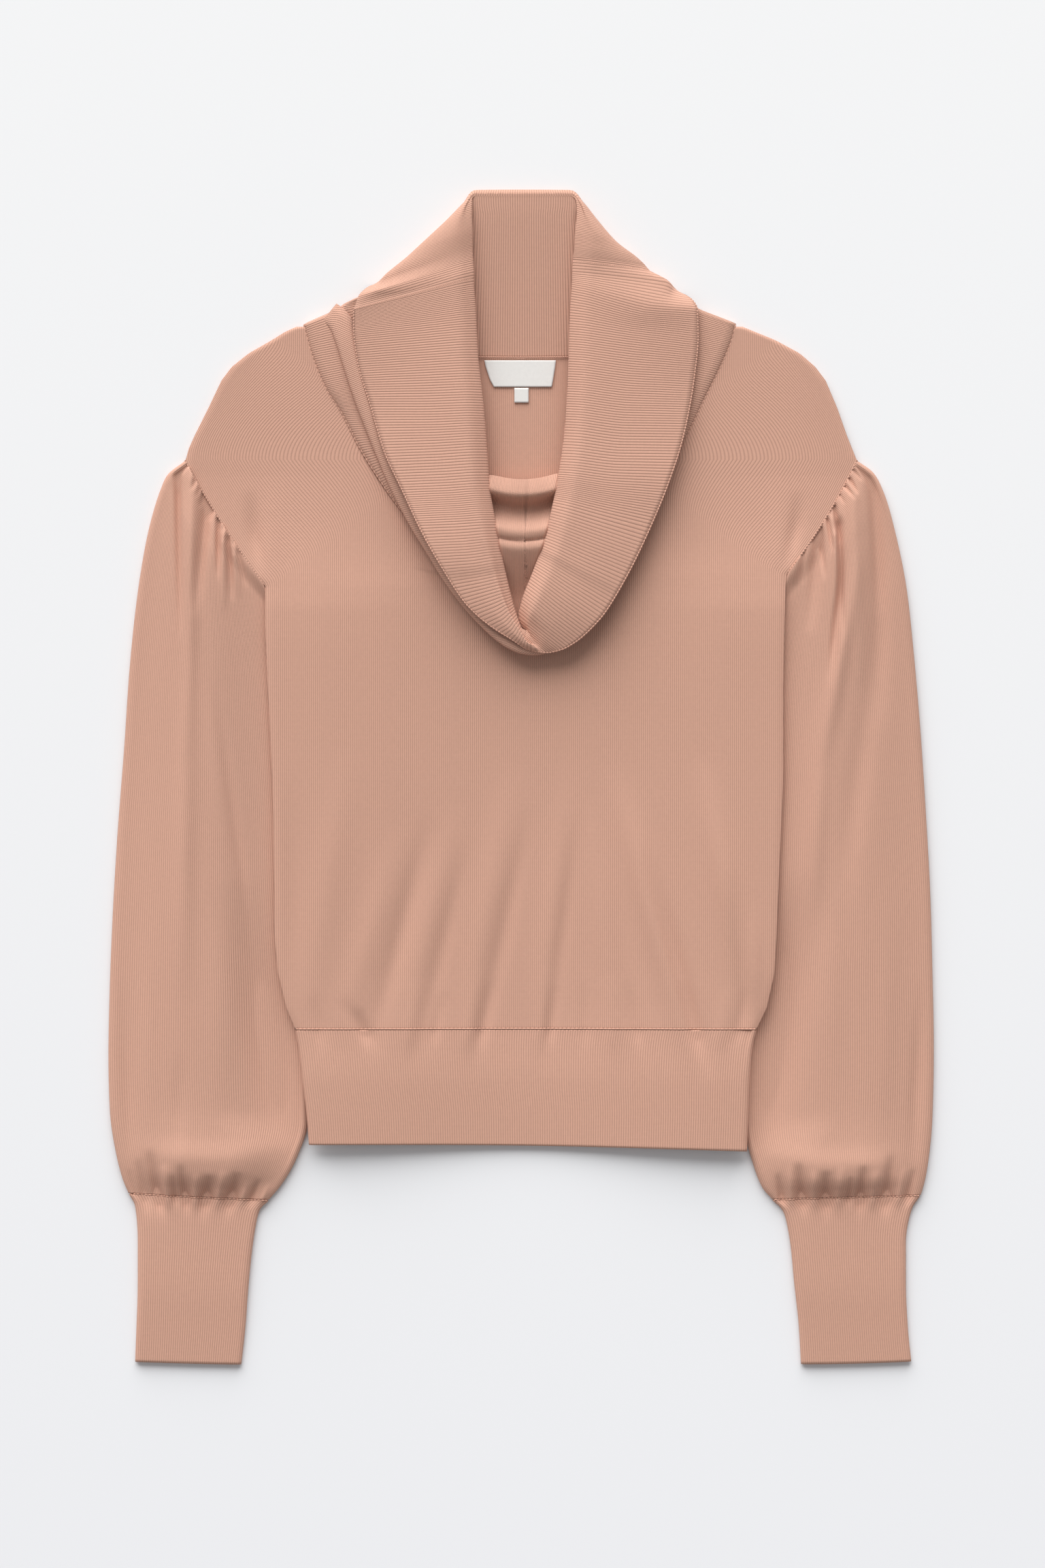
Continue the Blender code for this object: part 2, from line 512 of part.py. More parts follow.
BODY_ROWS = (1511, 1480, 1430, 1380, 1300, 1200, 1100, 1000, 919, 885, 862)
FRONT_ROWS = BODY_ROWS + (847,)
FRONT_NECK_ROWS = (843.5, 838, 826, 807, 785, 750, 705, 677, 655, 620, 580, 540, 515, 500, 490)
BACK_ROWS = BODY_ROWS + (845, 825, 800, 765, 720, 677, 655, 620, 580, 550, 530)
BACK_NECK_ROWS = (526, 523, 516, 508, 500, 492)

front = panel(FRONT_ROWS, FRONT_NECK_ROWS, COLLAR_FRONT, front_surface, 16)
face_way(front, up=True)
finish("front_panel", front, KNIT_COLOUR, 0.9, WALL, -1.0)
back = panel(BACK_ROWS, BACK_NECK_ROWS, COLLAR_BACK, back_surface, 16)
face_way(back, up=False)
finish("back_panel", back, KNIT_COLOUR, 0.9, WALL, -1.0)


def sleeve_base(x, y, position):
    """The sleeve head is lifted with the underarm and settles within two sections."""
    return side_rise(y) * (1 - smoothstep(0.0, 1.6, position)) if position < 1.6 else 0.0


def band_base(x, y, position):
    return body_base(x, min(y, 1511))


def flat_base(x, y, position):
    return 0.0


SLEEVE_POSITIONS = (0.03, 0.6, 1.1, 1.6, 2.2, 3, 4, 5, 6.5, 8, 9.5, 11, 12, 13, 13.5, 13.96)
CUFF_POSITIONS = (0, 0.5, 1, 2, 3, 4, 5)
flat_tube("sleeve_left", SLEEVE_LEFT, SLEEVE_POSITIONS, 18, 4, sleeve_base, SLEEVE_FOLDS_LEFT)
flat_tube("sleeve_right", SLEEVE_RIGHT, SLEEVE_POSITIONS, 18, 4, sleeve_base, SLEEVE_FOLDS_RIGHT)
flat_tube("cuff_left", CUFF_LEFT, CUFF_POSITIONS, 6, 4, flat_base)
flat_tube("cuff_right", CUFF_RIGHT, CUFF_POSITIONS, 6, 4, flat_base)
flat_tube("waistband", WAISTBAND, (0, 0.6, 1, 2, 3, 4), 18, 12, band_base)
collar("collar_front", COLLAR_FRONT, 0.0, len(COLLAR_FRONT) - 1, 45, FRONT_SPOTS)
collar("collar_back", COLLAR_BACK, 0.0, len(COLLAR_BACK) - 1, 33, BACK_SPOTS)
label("neck_label", NECK_LABEL)
label("size_label", SIZE_LABEL)
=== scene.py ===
"""Looks of a fine-knit pullover with a deep ribbed cowl collar, laid flat on a pale ground.

Every cloth piece is a thin shell on the form of its solid, with finer folds, and a map of its
own in metres: across the wales or ribs first, then along them. Plan tables give x to the right
and y downwards in steps of 0.48 mm; heights are in millimetres above the ground.
"""

import bmesh
import bpy
import numpy as np
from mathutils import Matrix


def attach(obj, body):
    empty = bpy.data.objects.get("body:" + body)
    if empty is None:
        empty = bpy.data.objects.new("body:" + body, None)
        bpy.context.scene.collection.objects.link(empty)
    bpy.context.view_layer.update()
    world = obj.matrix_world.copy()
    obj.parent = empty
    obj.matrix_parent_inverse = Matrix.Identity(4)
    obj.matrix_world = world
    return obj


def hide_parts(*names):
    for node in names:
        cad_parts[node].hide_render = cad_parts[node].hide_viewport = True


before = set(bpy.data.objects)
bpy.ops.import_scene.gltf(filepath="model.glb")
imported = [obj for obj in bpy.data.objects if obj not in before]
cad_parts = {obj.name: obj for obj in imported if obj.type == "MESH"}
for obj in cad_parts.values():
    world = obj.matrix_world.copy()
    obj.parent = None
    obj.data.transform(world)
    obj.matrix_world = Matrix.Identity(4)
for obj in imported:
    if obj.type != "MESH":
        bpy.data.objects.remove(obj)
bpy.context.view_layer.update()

STEP = 0.00048            # metres for one step of a plan table
MID_X, MID_Y = 765.5, 1141.0   # the part's origin on the plan
FRAME_X, FRAME_Y = 768, 1152   # the middle of the picture on the plan
CAMERA_HEIGHT = 3.072     # metres
MM = 0.001
WALL = 1.2                # cloth thickness, mm
SEAM_GAP = 0.3            # space left at each seam, mm
BODY_DEPTH = 4.5          # both body panels with the air between them, mm
BEND = 1.7                # width of a folded edge's curve over half its depth
RIM_LIFT = 1.38           # each panel's edge stays this far off the body's middle height, mm
EDGE_SOFT = 5.0           # width over which a panel drops towards its edge, mm
SIDE_LIFT = 7.2           # body sides lie on the sleeves, mm
LIFT_FLAT = 55.0          # plan steps from the body side that stay lifted
LIFT_SLOPE = 280.0        # plan steps over which the body comes down to the surface
STAND_SWELL = 2.6         # how far the collar stand puffs up off its seam, mm
AIR = 0.4                 # least air left between two layers of a tube, mm
LOWEST_TROUGH = 3.0       # folds never press the front's surface below this height, mm
TROUGH_TAIL = 0.6         # how much a gather's end is drawn out past its seam
SEAM_WALL = 0.2           # wall of a round seam, mm
MIDDLE_X = 768.0          # the cowl's middle line, plan steps
COWL_HALF = 50.0          # from there to the roll on either side, plan steps
COWL_TOP, COWL_END = 690, 905   # where the drape inside the cowl starts and ends

# Left and right edges of the body by height, hem seam to shoulder-neck point.
BODY_EDGE = (
    # y, left, right
    (1511, 435, 1111), (1480, 422, 1126), (1430, 410, 1137), (1380, 405, 1140),
    (1265, 404, 1145), (1150, 402, 1150), (1014, 395, 1150), (919, 391, 1152),
    (862, 391, 1154),
)
SHOULDER_EDGE = (
    # y, left, right
    (675, 274, 1258), (660, 278, 1252), (640, 287, 1244), (600, 307, 1230), (560, 326, 1213),
    (540, 341, 1198), (520, 366, 1175), (500, 401, 1138), (488, 420, 1108), (478, 443, 1084),
)
ARMHOLE_TOP_Y = 677.0     # where armhole and shoulder meet

# How far the body's side is lifted by the sleeve under it.
SIDE_RISE = (
    # y, share of SIDE_LIFT
    (650, 0.0), (700, 0.06), (766, 0.24), (820, 0.5), (860, 0.74), (900, 0.94), (960, 1.0),
    (1700, 1.0),
)

# Sleeve sections from the armhole to the cuff: outer end, middle, inner end.
SLEEVE_LEFT = (
    # outer x, y, middle x, y, inner x, y, depth
    (273, 677, 325, 766, 389.5, 860, 4.5), (246, 699, 313, 783, 396, 884, 5.4),
    (236, 721, 308, 808, 398, 906, 6.2), (219, 779, 306, 866, 405, 955, 6.4),
    (203, 871, 307, 948, 416, 1020, 6.4), (191, 983, 306, 1048, 424, 1110, 6.4),
    (183, 1100, 307, 1153, 430, 1205, 6.4), (173, 1230, 305, 1268, 436, 1305, 6.4),
    (166, 1350, 305, 1377, 443, 1402, 6.4), (162, 1450, 306, 1472, 449, 1490, 6.4),
    (160, 1550, 306, 1566, 453, 1580, 6.4), (162, 1630, 308, 1640, 453, 1645, 6.4),
    (171, 1693, 305, 1700, 437, 1700, 6.4), (181, 1732, 298, 1740, 415, 1739, 5.8),
    (189, 1752, 292, 1758, 396, 1762, 5.0),
)
SLEEVE_RIGHT = (
    (1259, 677, 1213, 762, 1156, 844, 4.5), (1284, 696, 1225, 782, 1149, 874, 5.4),
    (1300, 728, 1230, 812, 1147, 903, 6.2), (1316, 785, 1231, 862, 1140, 945, 6.4),
    (1332, 865, 1231, 936, 1130, 1000, 6.4), (1343, 965, 1232, 1028, 1122, 1087, 6.4),
    (1352, 1070, 1232, 1128, 1114, 1182, 6.4), (1360, 1190, 1233, 1240, 1107, 1287, 6.4),
    (1367, 1320, 1234, 1357, 1101, 1390, 6.4), (1370, 1430, 1232, 1457, 1096, 1480, 6.4),
    (1372, 1540, 1232, 1557, 1092, 1570, 6.4), (1370, 1640, 1231, 1648, 1093, 1650, 6.4),
    (1364, 1705, 1235, 1710, 1106, 1708, 6.4), (1358, 1738, 1239, 1744, 1120, 1744, 5.8),
    (1353, 1755, 1244, 1758, 1134, 1761, 5.0),
)
CUFF_LEFT = (
    (190, 1754, 292, 1760, 395, 1764, 5.0), (199, 1772, 290, 1775, 382, 1778, 5.2),
    (203, 1821, 288, 1821, 373, 1821, 5.6), (203, 1885, 284, 1885, 366, 1885, 5.8),
    (201, 1950, 281, 1950, 361, 1950, 5.0), (199, 2000, 277, 2002.5, 355, 2004, 4.2),
)
CUFF_RIGHT = (
    (1352, 1757, 1244, 1760, 1135, 1763, 5.0), (1340, 1776, 1246, 1778, 1151, 1780, 5.2),
    (1331, 1825, 1246, 1825, 1161, 1825, 5.6), (1331, 1885, 1249, 1885, 1167, 1885, 5.8),
    (1334, 1950, 1254, 1950, 1174, 1950, 5.0), (1339, 1999.5, 1258, 2002.5, 1177, 2003.5, 4.2),
)
WAISTBAND = (
    (435, 1512.5, 773, 1512.5, 1111, 1512.5, 4.5), (440, 1540, 772, 1540, 1105, 1540, 5.0),
    (446, 1590, 773, 1590, 1101, 1590, 5.8), (452, 1640, 776, 1640, 1099, 1640, 5.6),
    (455, 1680.5, 776, 1682.5, 1097, 1690, 5.3),
)

# Soft gathers and folds: ridges are above the cloth's own height, troughs below it.
SLEEVE_GATHERS_LEFT = (
    # from x, y, to x, y, height, half width
    (276, 683, 262, 702, -2.6, 3.5), (262, 698, 268, 940, -4.2, 5), (284, 708, 280, 1120, 3.8, 10),
    (289, 704, 284, 722, -2.6, 3), (301, 722, 295, 748, -2.8, 3), (305, 738, 288, 905, -5.0, 8),
    (296, 714, 291, 732, -1.8, 2.4), (313, 750, 309, 768, -1.8, 2.4), (322, 768, 322, 852, -3.8, 3.5),
    (330, 788, 331, 900, 2.4, 5), (336, 796, 342, 885, -3.4, 4), (345, 806, 353, 880, 1.4, 5),
    (352, 816, 363, 864, -1.8, 4), (328, 780, 327, 798, -1.6, 2.4), (344, 800, 345, 818, -1.4, 2.4),
    (270, 680, 258, 694, 1.2, 3),
    (214, 1757, 204, 1702, -2.6, 8), (233, 1757, 221, 1688, -4.2, 8), (247, 1757, 243, 1708, 2.4, 6),
    (258, 1757, 255, 1724, -2.4, 4.5), (273, 1757, 267, 1708, -4.2, 7), (288, 1757, 290, 1722, 2.2, 6),
    (304, 1757, 311, 1724, -4.6, 8), (322, 1757, 331, 1718, 2.0, 6), (341, 1757, 352, 1720, -4.8, 8),
    (358, 1757, 367, 1732, 1.6, 5), (372, 1757, 383, 1730, -2.6, 5), (388, 1757, 397, 1738, 1.2, 4),
    (196, 1755, 190, 1716, -1.4, 5),
)
SLEEVE_DRAPES_LEFT = (
    (276, 960, 272, 1480, 2.6, 15), (315, 980, 378, 1430, -1.6, 8), (300, 1000, 350, 1400, 0.9, 12),
    (345, 1290, 434, 1740, -6.2, 32), (330, 1300, 330, 1640, 1.2, 24), (180, 1440, 197, 1740, -1.6, 10),
    (215, 1350, 225, 1720, 0.9, 14), (268, 1540, 262, 1700, -0.9, 12),
)
SLEEVE_GATHERS_RIGHT = (
    (1262, 686, 1284, 722, -3.0, 3.5), (1282, 716, 1293, 905, -3.6, 9), (1252, 735, 1264, 1010, 3.2, 11),
    (1249, 706, 1260, 728, -2.8, 2.6), (1240, 713, 1256, 735, -2.4, 2.6), (1231, 722, 1240, 742, -1.8, 2.4),
    (1226, 748, 1234, 800, -4.0, 3.2), (1233, 775, 1237, 940, -4.2, 4.5), (1226, 790, 1226, 905, 2.4, 4),
    (1216, 766, 1223, 814, -3.0, 2.6), (1205, 782, 1211, 852, -3.6, 3.2), (1202, 796, 1189, 930, -3.6, 9),
    (1219, 748, 1221, 764, -1.6, 2.2), (1196, 792, 1199, 812, -1.6, 2.4), (1180, 812, 1178, 860, -1.4, 4),
    (1256, 694, 1266, 708, -1.6, 2.4), (1170, 822, 1165, 860, 1.4, 6),
    (1148, 1757, 1142, 1722, -2.8, 5), (1162, 1757, 1158, 1712, 1.8, 5),
    (1178, 1757, 1172, 1706, -4.4, 7), (1196, 1757, 1193, 1716, 2.2, 6),
    (1213, 1757, 1212, 1718, -4.6, 8), (1232, 1757, 1235, 1712, 2.0, 6), (1247, 1757, 1249, 1726, -2.6, 4.5),
    (1264, 1757, 1268, 1710, -4.4, 7), (1282, 1757, 1286, 1716, 2.2, 6),
    (1302, 1757, 1309, 1694, -4.2, 8), (1320, 1757, 1328, 1712, 1.8, 5),
    (1334, 1755, 1342, 1716, -2.2, 5),
)
SLEEVE_DRAPES_RIGHT = (
    (1290, 690, 1290, 1080, -3.4, 15), (1292, 880, 1236, 1330, -2.4, 18),
    (1240, 800, 1218, 1010, -3.6, 6), (1264, 790, 1206, 1130, 3.2, 12),
    (1214, 980, 1182, 1440, 3.0, 16), (1172, 1280, 1112, 1740, -6.2, 30),
    (1210, 1330, 1206, 1640, 1.2, 24), (1352, 1440, 1340, 1740, -1.6, 10),
    (1305, 1300, 1296, 1700, 0.9, 16),
)
BODY_GATHERS = (
    (709, 1513, 722, 1440, -1.5, 8), (808, 1513, 816, 1446, -1.2, 7), (534, 1513, 528, 1480, -1.2, 8),
    (536, 1513, 500, 1466, -1.2, 10), (1020, 1513, 1000, 1440, -1.8, 9), (1060, 1512, 1066, 1450, 0.8, 10),
    (860, 1512, 856, 1440, -0.8, 8), (604, 1513, 616, 1440, 0.8, 10), (690, 1513, 704, 1420, 0.9, 11),
    (796, 1513, 804, 1420, 0.7, 10), (900, 1513, 894, 1430, 0.6, 12), (936, 1513, 920, 1440, -1.2, 8),
    (470, 1513, 462, 1460, -1.0, 9), (640, 1513, 652, 1455, -1.0, 8), (1084, 1513, 1096, 1450, -1.0, 8),
)
BODY_DRAPES = (
    (470, 455, 590, 775, -3.0, 15), (555, 690, 705, 945, -2.2, 14),
    (368, 720, 382, 885, -2.6, 11), (404, 690, 398, 960, 0.5, 16),
    (1173, 720, 1161, 885, -2.6, 11), (1139, 690, 1145, 960, 0.5, 16),
    (634, 1190, 542, 1560, -1.9, 14), (592, 1210, 498, 1545, 1.4, 21), (672, 1180, 582, 1570, 1.6, 19),
    (688, 1230, 610, 1570, -1.2, 12), (756, 1120, 672, 1580, 1.9, 23), (780, 1180, 696, 1580, -1.6, 13),
    (838, 1110, 788, 1585, 1.7, 20), (850, 1190, 800, 1580, -1.4, 11), (866, 1170, 914, 1580, 1.8, 20),
    (900, 1120, 1024, 1585, 3.6, 20), (944, 1240, 1044, 1590, -3.6, 12), (1030, 1110, 1112, 1540, 3.8, 20),
    (1070, 1280, 1108, 1580, -2.4, 11), (1106, 1320, 1124, 1570, 1.5, 10),
    (418, 1130, 437, 1480, -1.7, 18), (508, 1100, 458, 1500, 1.5, 24),
)

# Collar sections round the neck. Each runs from the neck seam to a turn in the stand, up to
# the roll, over the fall and to the free edge. The turn has a height going in and one coming out.
COLLAR_FRONT = (
    # neck x, y, z, turn x, y, z in, z out, roll x, y, z, over x, y, z in, z out, edge x, y, z
    (447, 478, 2.9, 505, 453, 4.4, 6.6, 696, 412, 10.8, 608, 436, 13.9, 13.6, 521, 457, 11.2),
    (448, 481, 3.6, 507, 457, 5.3, 6.6, 696, 419, 10.9, 608, 440, 13.9, 13.6, 521, 460, 11.1),
    (460, 524, 3.7, 556, 506, 5.8, 6.6, 699, 465, 11.2, 610, 476, 14.2, 13.6, 521, 486, 10.8),
    (480, 572, 3.7, 582, 550, 5.8, 6.6, 702, 525, 12.0, 614, 530, 14.8, 13.9, 527, 535, 10.4),
    (503, 608, 3.7, 597, 603, 5.8, 6.6, 710, 598, 13.0, 628, 600, 15.4, 14.0, 546, 599, 10.0),
    (530, 660, 3.7, 615, 648, 5.6, 6.7, 715, 660, 13.8, 641, 664, 15.8, 14.2, 566, 666, 9.8),
    (560, 708, 3.7, 642, 668, 5.2, 6.9, 719, 716, 14.6, 656, 720, 16.2, 14.4, 592, 722, 9.6),
    (600, 762, 3.7, 668, 724, 4.8, 7.4, 729, 776, 15.6, 675, 780, 17.2, 14.6, 620, 782, 9.4),
    (650, 806, 3.7, 706, 704, 3.7, 8.4, 738, 822, 16.2, 693, 829, 17.8, 14.8, 648, 832, 9.4),
    (700, 830, 3.7, 733, 698, 3.2, 8.8, 749, 872, 16.4, 719, 882, 18.0, 14.6, 688, 892, 9.4),
    (728, 838, 3.7, 748, 698, 3.2, 8.8, 756, 898, 16.6, 740, 913, 18.0, 14.4, 722, 922, 9.4),
    (748, 841, 3.7, 758, 698, 3.2, 8.8, 765, 922, 16.4, 759, 934, 17.8, 14.2, 752, 941, 9.4),
    (762, 842, 3.7, 765, 698, 3.2, 8.8, 776, 944, 15.6, 775, 950, 16.8, 13.8, 775, 955, 9.6),
    (768, 842, 3.7, 768, 698, 3.2, 8.8, 781, 948, 14.0, 786, 953, 15.4, 12.6, 790, 959, 14.5),
    (774, 842, 3.7, 771, 698, 3.2, 8.8, 775, 938, 12.6, 791, 950, 14.2, 12.4, 804, 960, 17.0),
    (786, 841, 3.7, 778, 698, 3.2, 8.8, 763, 908, 13.4, 798, 936, 15.4, 13.8, 824, 956, 16.6),
    (800, 838, 3.7, 787, 698, 3.2, 8.8, 768, 884, 14.9, 808, 917, 16.9, 14.0, 845, 945, 12.0),
    (840, 824, 3.7, 805, 698, 3.2, 8.8, 784, 842, 16.0, 833, 877, 17.6, 14.2, 882, 910, 9.2),
    (888, 796, 3.7, 838, 701, 3.7, 8.4, 800, 797, 15.8, 860, 824, 17.4, 14.2, 920, 849, 9.4),
    (930, 757, 3.7, 876, 729, 4.8, 7.4, 813, 744, 15.4, 883, 764, 17.2, 14.2, 952, 783, 9.6),
    (968, 710, 3.7, 896, 665, 5.2, 6.9, 822, 697, 14.8, 902, 707, 16.6, 14.2, 982, 710, 9.6),
    (1000, 657, 3.7, 925, 638, 5.6, 6.7, 831, 630, 13.8, 917, 640, 16.0, 14.0, 1004, 640, 9.6),
    (1035, 587, 3.7, 942, 568, 5.8, 6.6, 836, 545, 12.8, 927, 556, 15.2, 13.8, 1019, 560, 9.8),
    (1063, 530, 3.7, 958, 508, 5.8, 6.6, 838, 475, 11.8, 931, 490, 14.6, 13.8, 1025, 500, 10.4),
    (1076, 497, 3.6, 985, 476, 5.6, 6.6, 841, 425, 11.2, 958, 454, 13.8, 12.8, 1024, 458, 10.2),
    (1080, 480, 3.6, 1014, 456, 5.3, 6.6, 842, 402, 10.9, 981, 418, 12.2, 3.8, 1001, 433, 2.3),
    (1081, 477, 2.9, 1015, 452, 4.4, 6.6, 843, 386, 10.8, 956, 401, 12.2, 0.9, 971, 450, 0.75),
)
COLLAR_BACK = (
    (447, 478, 2.9, 505, 453, 4.4, 6.6, 696, 412, 10.8, 608, 436, 13.9, 13.6, 521, 457, 11.2),
    (448, 482, 0.7, 506.5, 449, 2.4, 6.8, 696, 404, 10.8, 609, 430, 13.8, 13.5, 523, 452, 10.9),
    (490, 498, 0.8, 518, 443, 3.2, 7.0, 695, 388, 10.7, 564, 428, 12.8, 12.2, 528, 438, 10.4),
    (520, 503, 0.8, 560, 425, 3.3, 7.0, 694, 368, 10.6, 564, 412, 12.2, 3.4, 549, 420, 1.3),
    (552, 508, 0.8, 602, 394, 3.4, 7.0, 694, 345, 10.5, 602, 377, 12.8, 0.9, 568, 434, 0.75),
    (612, 518, 0.8, 664, 334, 3.6, 6.9, 693, 314, 9.8, 659, 324, 12.2, 0.9, 622, 440, 0.75),
    (655, 522, 0.8, 684, 322, 4.0, 6.0, 693, 296, 7.8, 681, 301, 9.0, 0.8, 658, 444, 0.75),
    (692, 524, 0.8, 702, 318, 4.8, 5.0, 700, 290, 5.4, 700, 281, 5.1, 0.8, 694, 446, 0.75),
    (768, 525, 0.8, 768, 318, 4.8, 5.0, 768, 290, 5.2, 768, 280.5, 5.1, 0.8, 768, 447, 0.75),
    (844, 524, 0.8, 836, 318, 4.8, 5.0, 838, 290, 5.4, 837, 281, 5.1, 0.8, 845, 446, 0.75),
    (882, 521, 0.8, 853, 322, 4.0, 6.0, 847, 296, 7.8, 858, 301, 9.0, 0.8, 880, 444, 0.75),
    (918, 517, 0.8, 872, 332, 3.6, 6.9, 849, 314, 9.8, 876, 324, 12.2, 0.9, 905, 441, 0.75),
    (985, 506, 0.8, 903, 376, 3.4, 7.0, 846, 345, 10.5, 907, 359, 12.6, 0.9, 945, 444, 0.75),
    (1035, 493, 0.8, 950, 413, 4.2, 7.3, 845, 368, 10.7, 934, 379, 12.5, 0.9, 959, 448, 0.75),
    (1066, 486, 0.8, 986, 433, 4.0, 7.2, 844, 375, 10.8, 945, 389, 12.4, 0.9, 964, 449, 0.75),
    (1080, 481, 0.7, 1010, 447, 2.6, 6.9, 843, 380, 10.8, 950, 395, 12.3, 0.9, 967, 450, 0.75),
    (1081, 477, 2.9, 1015, 452, 4.4, 6.6, 843, 386, 10.8, 956, 401, 12.2, 0.9, 971, 450, 0.75),
)
# Outer line of the collar's lower layer where it shows past the left free edge.
LOWER_LAYER = (
    # x, y, height
    (474, 474, 6.0), (486, 484, 8.0), (497, 510, 9.6), (508, 545, 10.4), (523, 590, 10.8),
    (541, 637, 11.0), (567, 700, 11.2), (587, 742, 11.4), (607, 779, 11.8), (630, 816, 12.4),
    (652, 852, 13.6), (672, 880, 15.2), (690, 902, 15.6), (709, 922, 18.6), (727, 939, 20.0),
    (747, 953, 20.8), (767, 961, 20.8), (785, 963, 20.0), (800, 961, 18.0),
)
# Drape of the cloth inside the cowl down its middle, and how far it sags there.
COWL_PROFILE = (
    # y, height
    (690, 8.8), (702, 10.0), (710, 13.0), (720, 16.0), (729, 17.6), (734, 15.0), (739, 8.6), (745, 5.0),
    (752, 4.9), (762, 8.4), (774, 15.6), (785, 19.6), (792, 19.0), (797, 17.0), (801, 19.4),
    (808, 20.4), (816, 18.8), (830, 15.2), (846, 11.2), (862, 7.6), (880, 5.0), (905, 4.4),
)
COWL_SAG = 9.0
# How much of the sleeve's puff shows along it, by section row.
PUFF_LINE = (
    # row, share
    (0, 0.10), (1.5, 0.55), (4, 0.9), (8, 1.0), (10.8, 0.85), (11.4, 0.95), (12.0, 1.25), (12.4, 1.15),
    (13.2, 0.4), (14, 0.0),
)
ROLL_RISE = 10.0           # how much taller the roll stands than its solid, mm
EDGE_RISE = 11.5           # the same for the free edge of the fall

NECK_LABEL = (
    # y, left, right
    (530, 712, 817), (540, 714, 816), (558, 720, 813), (569, 726, 811),
)
SIZE_LABEL = ((570.5, 756, 777), (592, 756, 777))
LABEL_WALL = 1.0          # woven label, mm


def ease(ts, values, at):
    """Smooth curve through the values at ts that never overshoots them."""
    ts = np.asarray(ts, float)
    values = np.asarray(values, float).reshape(len(ts), -1)
    at = np.atleast_1d(np.asarray(at, float))
    step = np.diff(ts)[:, None]
    slope = np.diff(values, axis=0) / step
    tangent = np.zeros_like(values)
    tangent[0], tangent[-1] = slope[0], slope[-1]
    if len(ts) > 2:
        before, after = slope[:-1], slope[1:]
        w1, w2 = 2 * step[1:] + step[:-1], step[1:] + 2 * step[:-1]
        with np.errstate(divide="ignore", invalid="ignore"):
            mean = (w1 + w2) / (w1 / before + w2 / after)
        tangent[1:-1] = np.where(before * after > 0, mean, 0.0)
    i = np.clip(np.searchsorted(ts, at, side="right") - 1, 0, len(ts) - 2)
    h = (ts[i + 1] - ts[i])[:, None]
    u = (at - ts[i])[:, None] / h
    return ((2 * u**3 - 3 * u**2 + 1) * values[i] + (u**3 - 2 * u**2 + u) * h * tangent[i]
            + (3 * u**2 - 2 * u**3) * values[i + 1] + (u**3 - u**2) * h * tangent[i + 1])


def smoothstep(low, high, value):
    """0 at low, 1 at high, with soft ends."""
    u = np.clip((value - low) / (high - low), 0.0, 1.0)
    return u * u * (3 - 2 * u)


def metres(x, y, z_mm):
    """Points in metres from plan steps and heights in millimetres."""
    x, y, z_mm = np.broadcast_arrays(x, y, z_mm)
    return np.stack(((x - MID_X) * STEP, (MID_Y - y) * STEP, z_mm * MM), axis=-1)


def bow(row, u):
    """Points on a section line through its outer end, middle and inner end."""
    row = np.asarray(row, float)
    u = np.asarray(u, float)[..., None]
    return row[0:2] * (1 - u) * (1 - 2 * u) + row[2:4] * 4 * u * (1 - u) + row[4:6] * u * (2 * u - 1)


def edge_line(column, sleeve, inward):
    """The body's edge as (y, x) rows, shoulder to hem."""
    line = [(row[0], row[column]) for row in SHOULDER_EDGE[::-1]]
    line += [(y, x + inward) for x, y in bow(sleeve[0], np.linspace(0, 1, 25))]
    line += [(row[0], row[column]) for row in BODY_EDGE[::-1]]
    return np.array(line, float)


EDGES = (edge_line(1, SLEEVE_LEFT, 0.0), edge_line(2, SLEEVE_RIGHT, 0.0))


def edge_x(y):
    """Plan x of the body's left and right edge at a height y."""
    return tuple(np.interp(y, line[:, 0], line[:, 1]) for line in EDGES)


def side_rise(y):
    """How far the body's side is lifted off the ground, mm."""
    rows = np.array(SIDE_RISE, float)
    y = np.asarray(y, float)
    return SIDE_LIFT * ease(rows[:, 0], rows[:, 1], np.clip(y, 700, 1700).ravel()).reshape(y.shape)


def body_base(x, y):
    """Height of the body's underside, mm: its sides lie on the sleeves."""
    left, right = edge_x(y)
    inside = np.minimum(x - left, right - x)
    return side_rise(y) * (1 - smoothstep(LIFT_FLAT, LIFT_FLAT + LIFT_SLOPE, inside))


def fold_height(x, y, gathers, drapes=()):
    """Height of soft ridges and troughs, mm: gathers die away from a seam, drapes at both ends."""
    total = np.zeros(np.broadcast(x, y).shape)
    for folds, drape in ((gathers, False), (drapes, True)):
        for x0, y0, x1, y1, height, half_width in folds:
            dx, dy = x1 - x0, y1 - y0
            run = ((x - x0) * dx + (y - y0) * dy) / (dx * dx + dy * dy)
            t = np.clip(run, 0, 1)
            near = t + TROUGH_TAIL * np.minimum(run, 0)
            off = np.hypot(x - x0 - near * dx, y - y0 - near * dy)
            strength = np.sin(np.pi * t)**1.4 if drape else 1 - t**1.6
            total = total + height * strength * np.exp(-(off / half_width)**2)
    return total


def rim_curve(depth_mm, distance_mm):
    """Share of the half depth reached at a distance in from a folded edge."""
    u = np.clip(distance_mm / (depth_mm * 0.5 * BEND), 0.0, 1.0)
    return np.sqrt(1 - (1 - u)**2)


knit = bpy.data.collections.new("cloth")
bpy.context.scene.collection.children.link(knit)


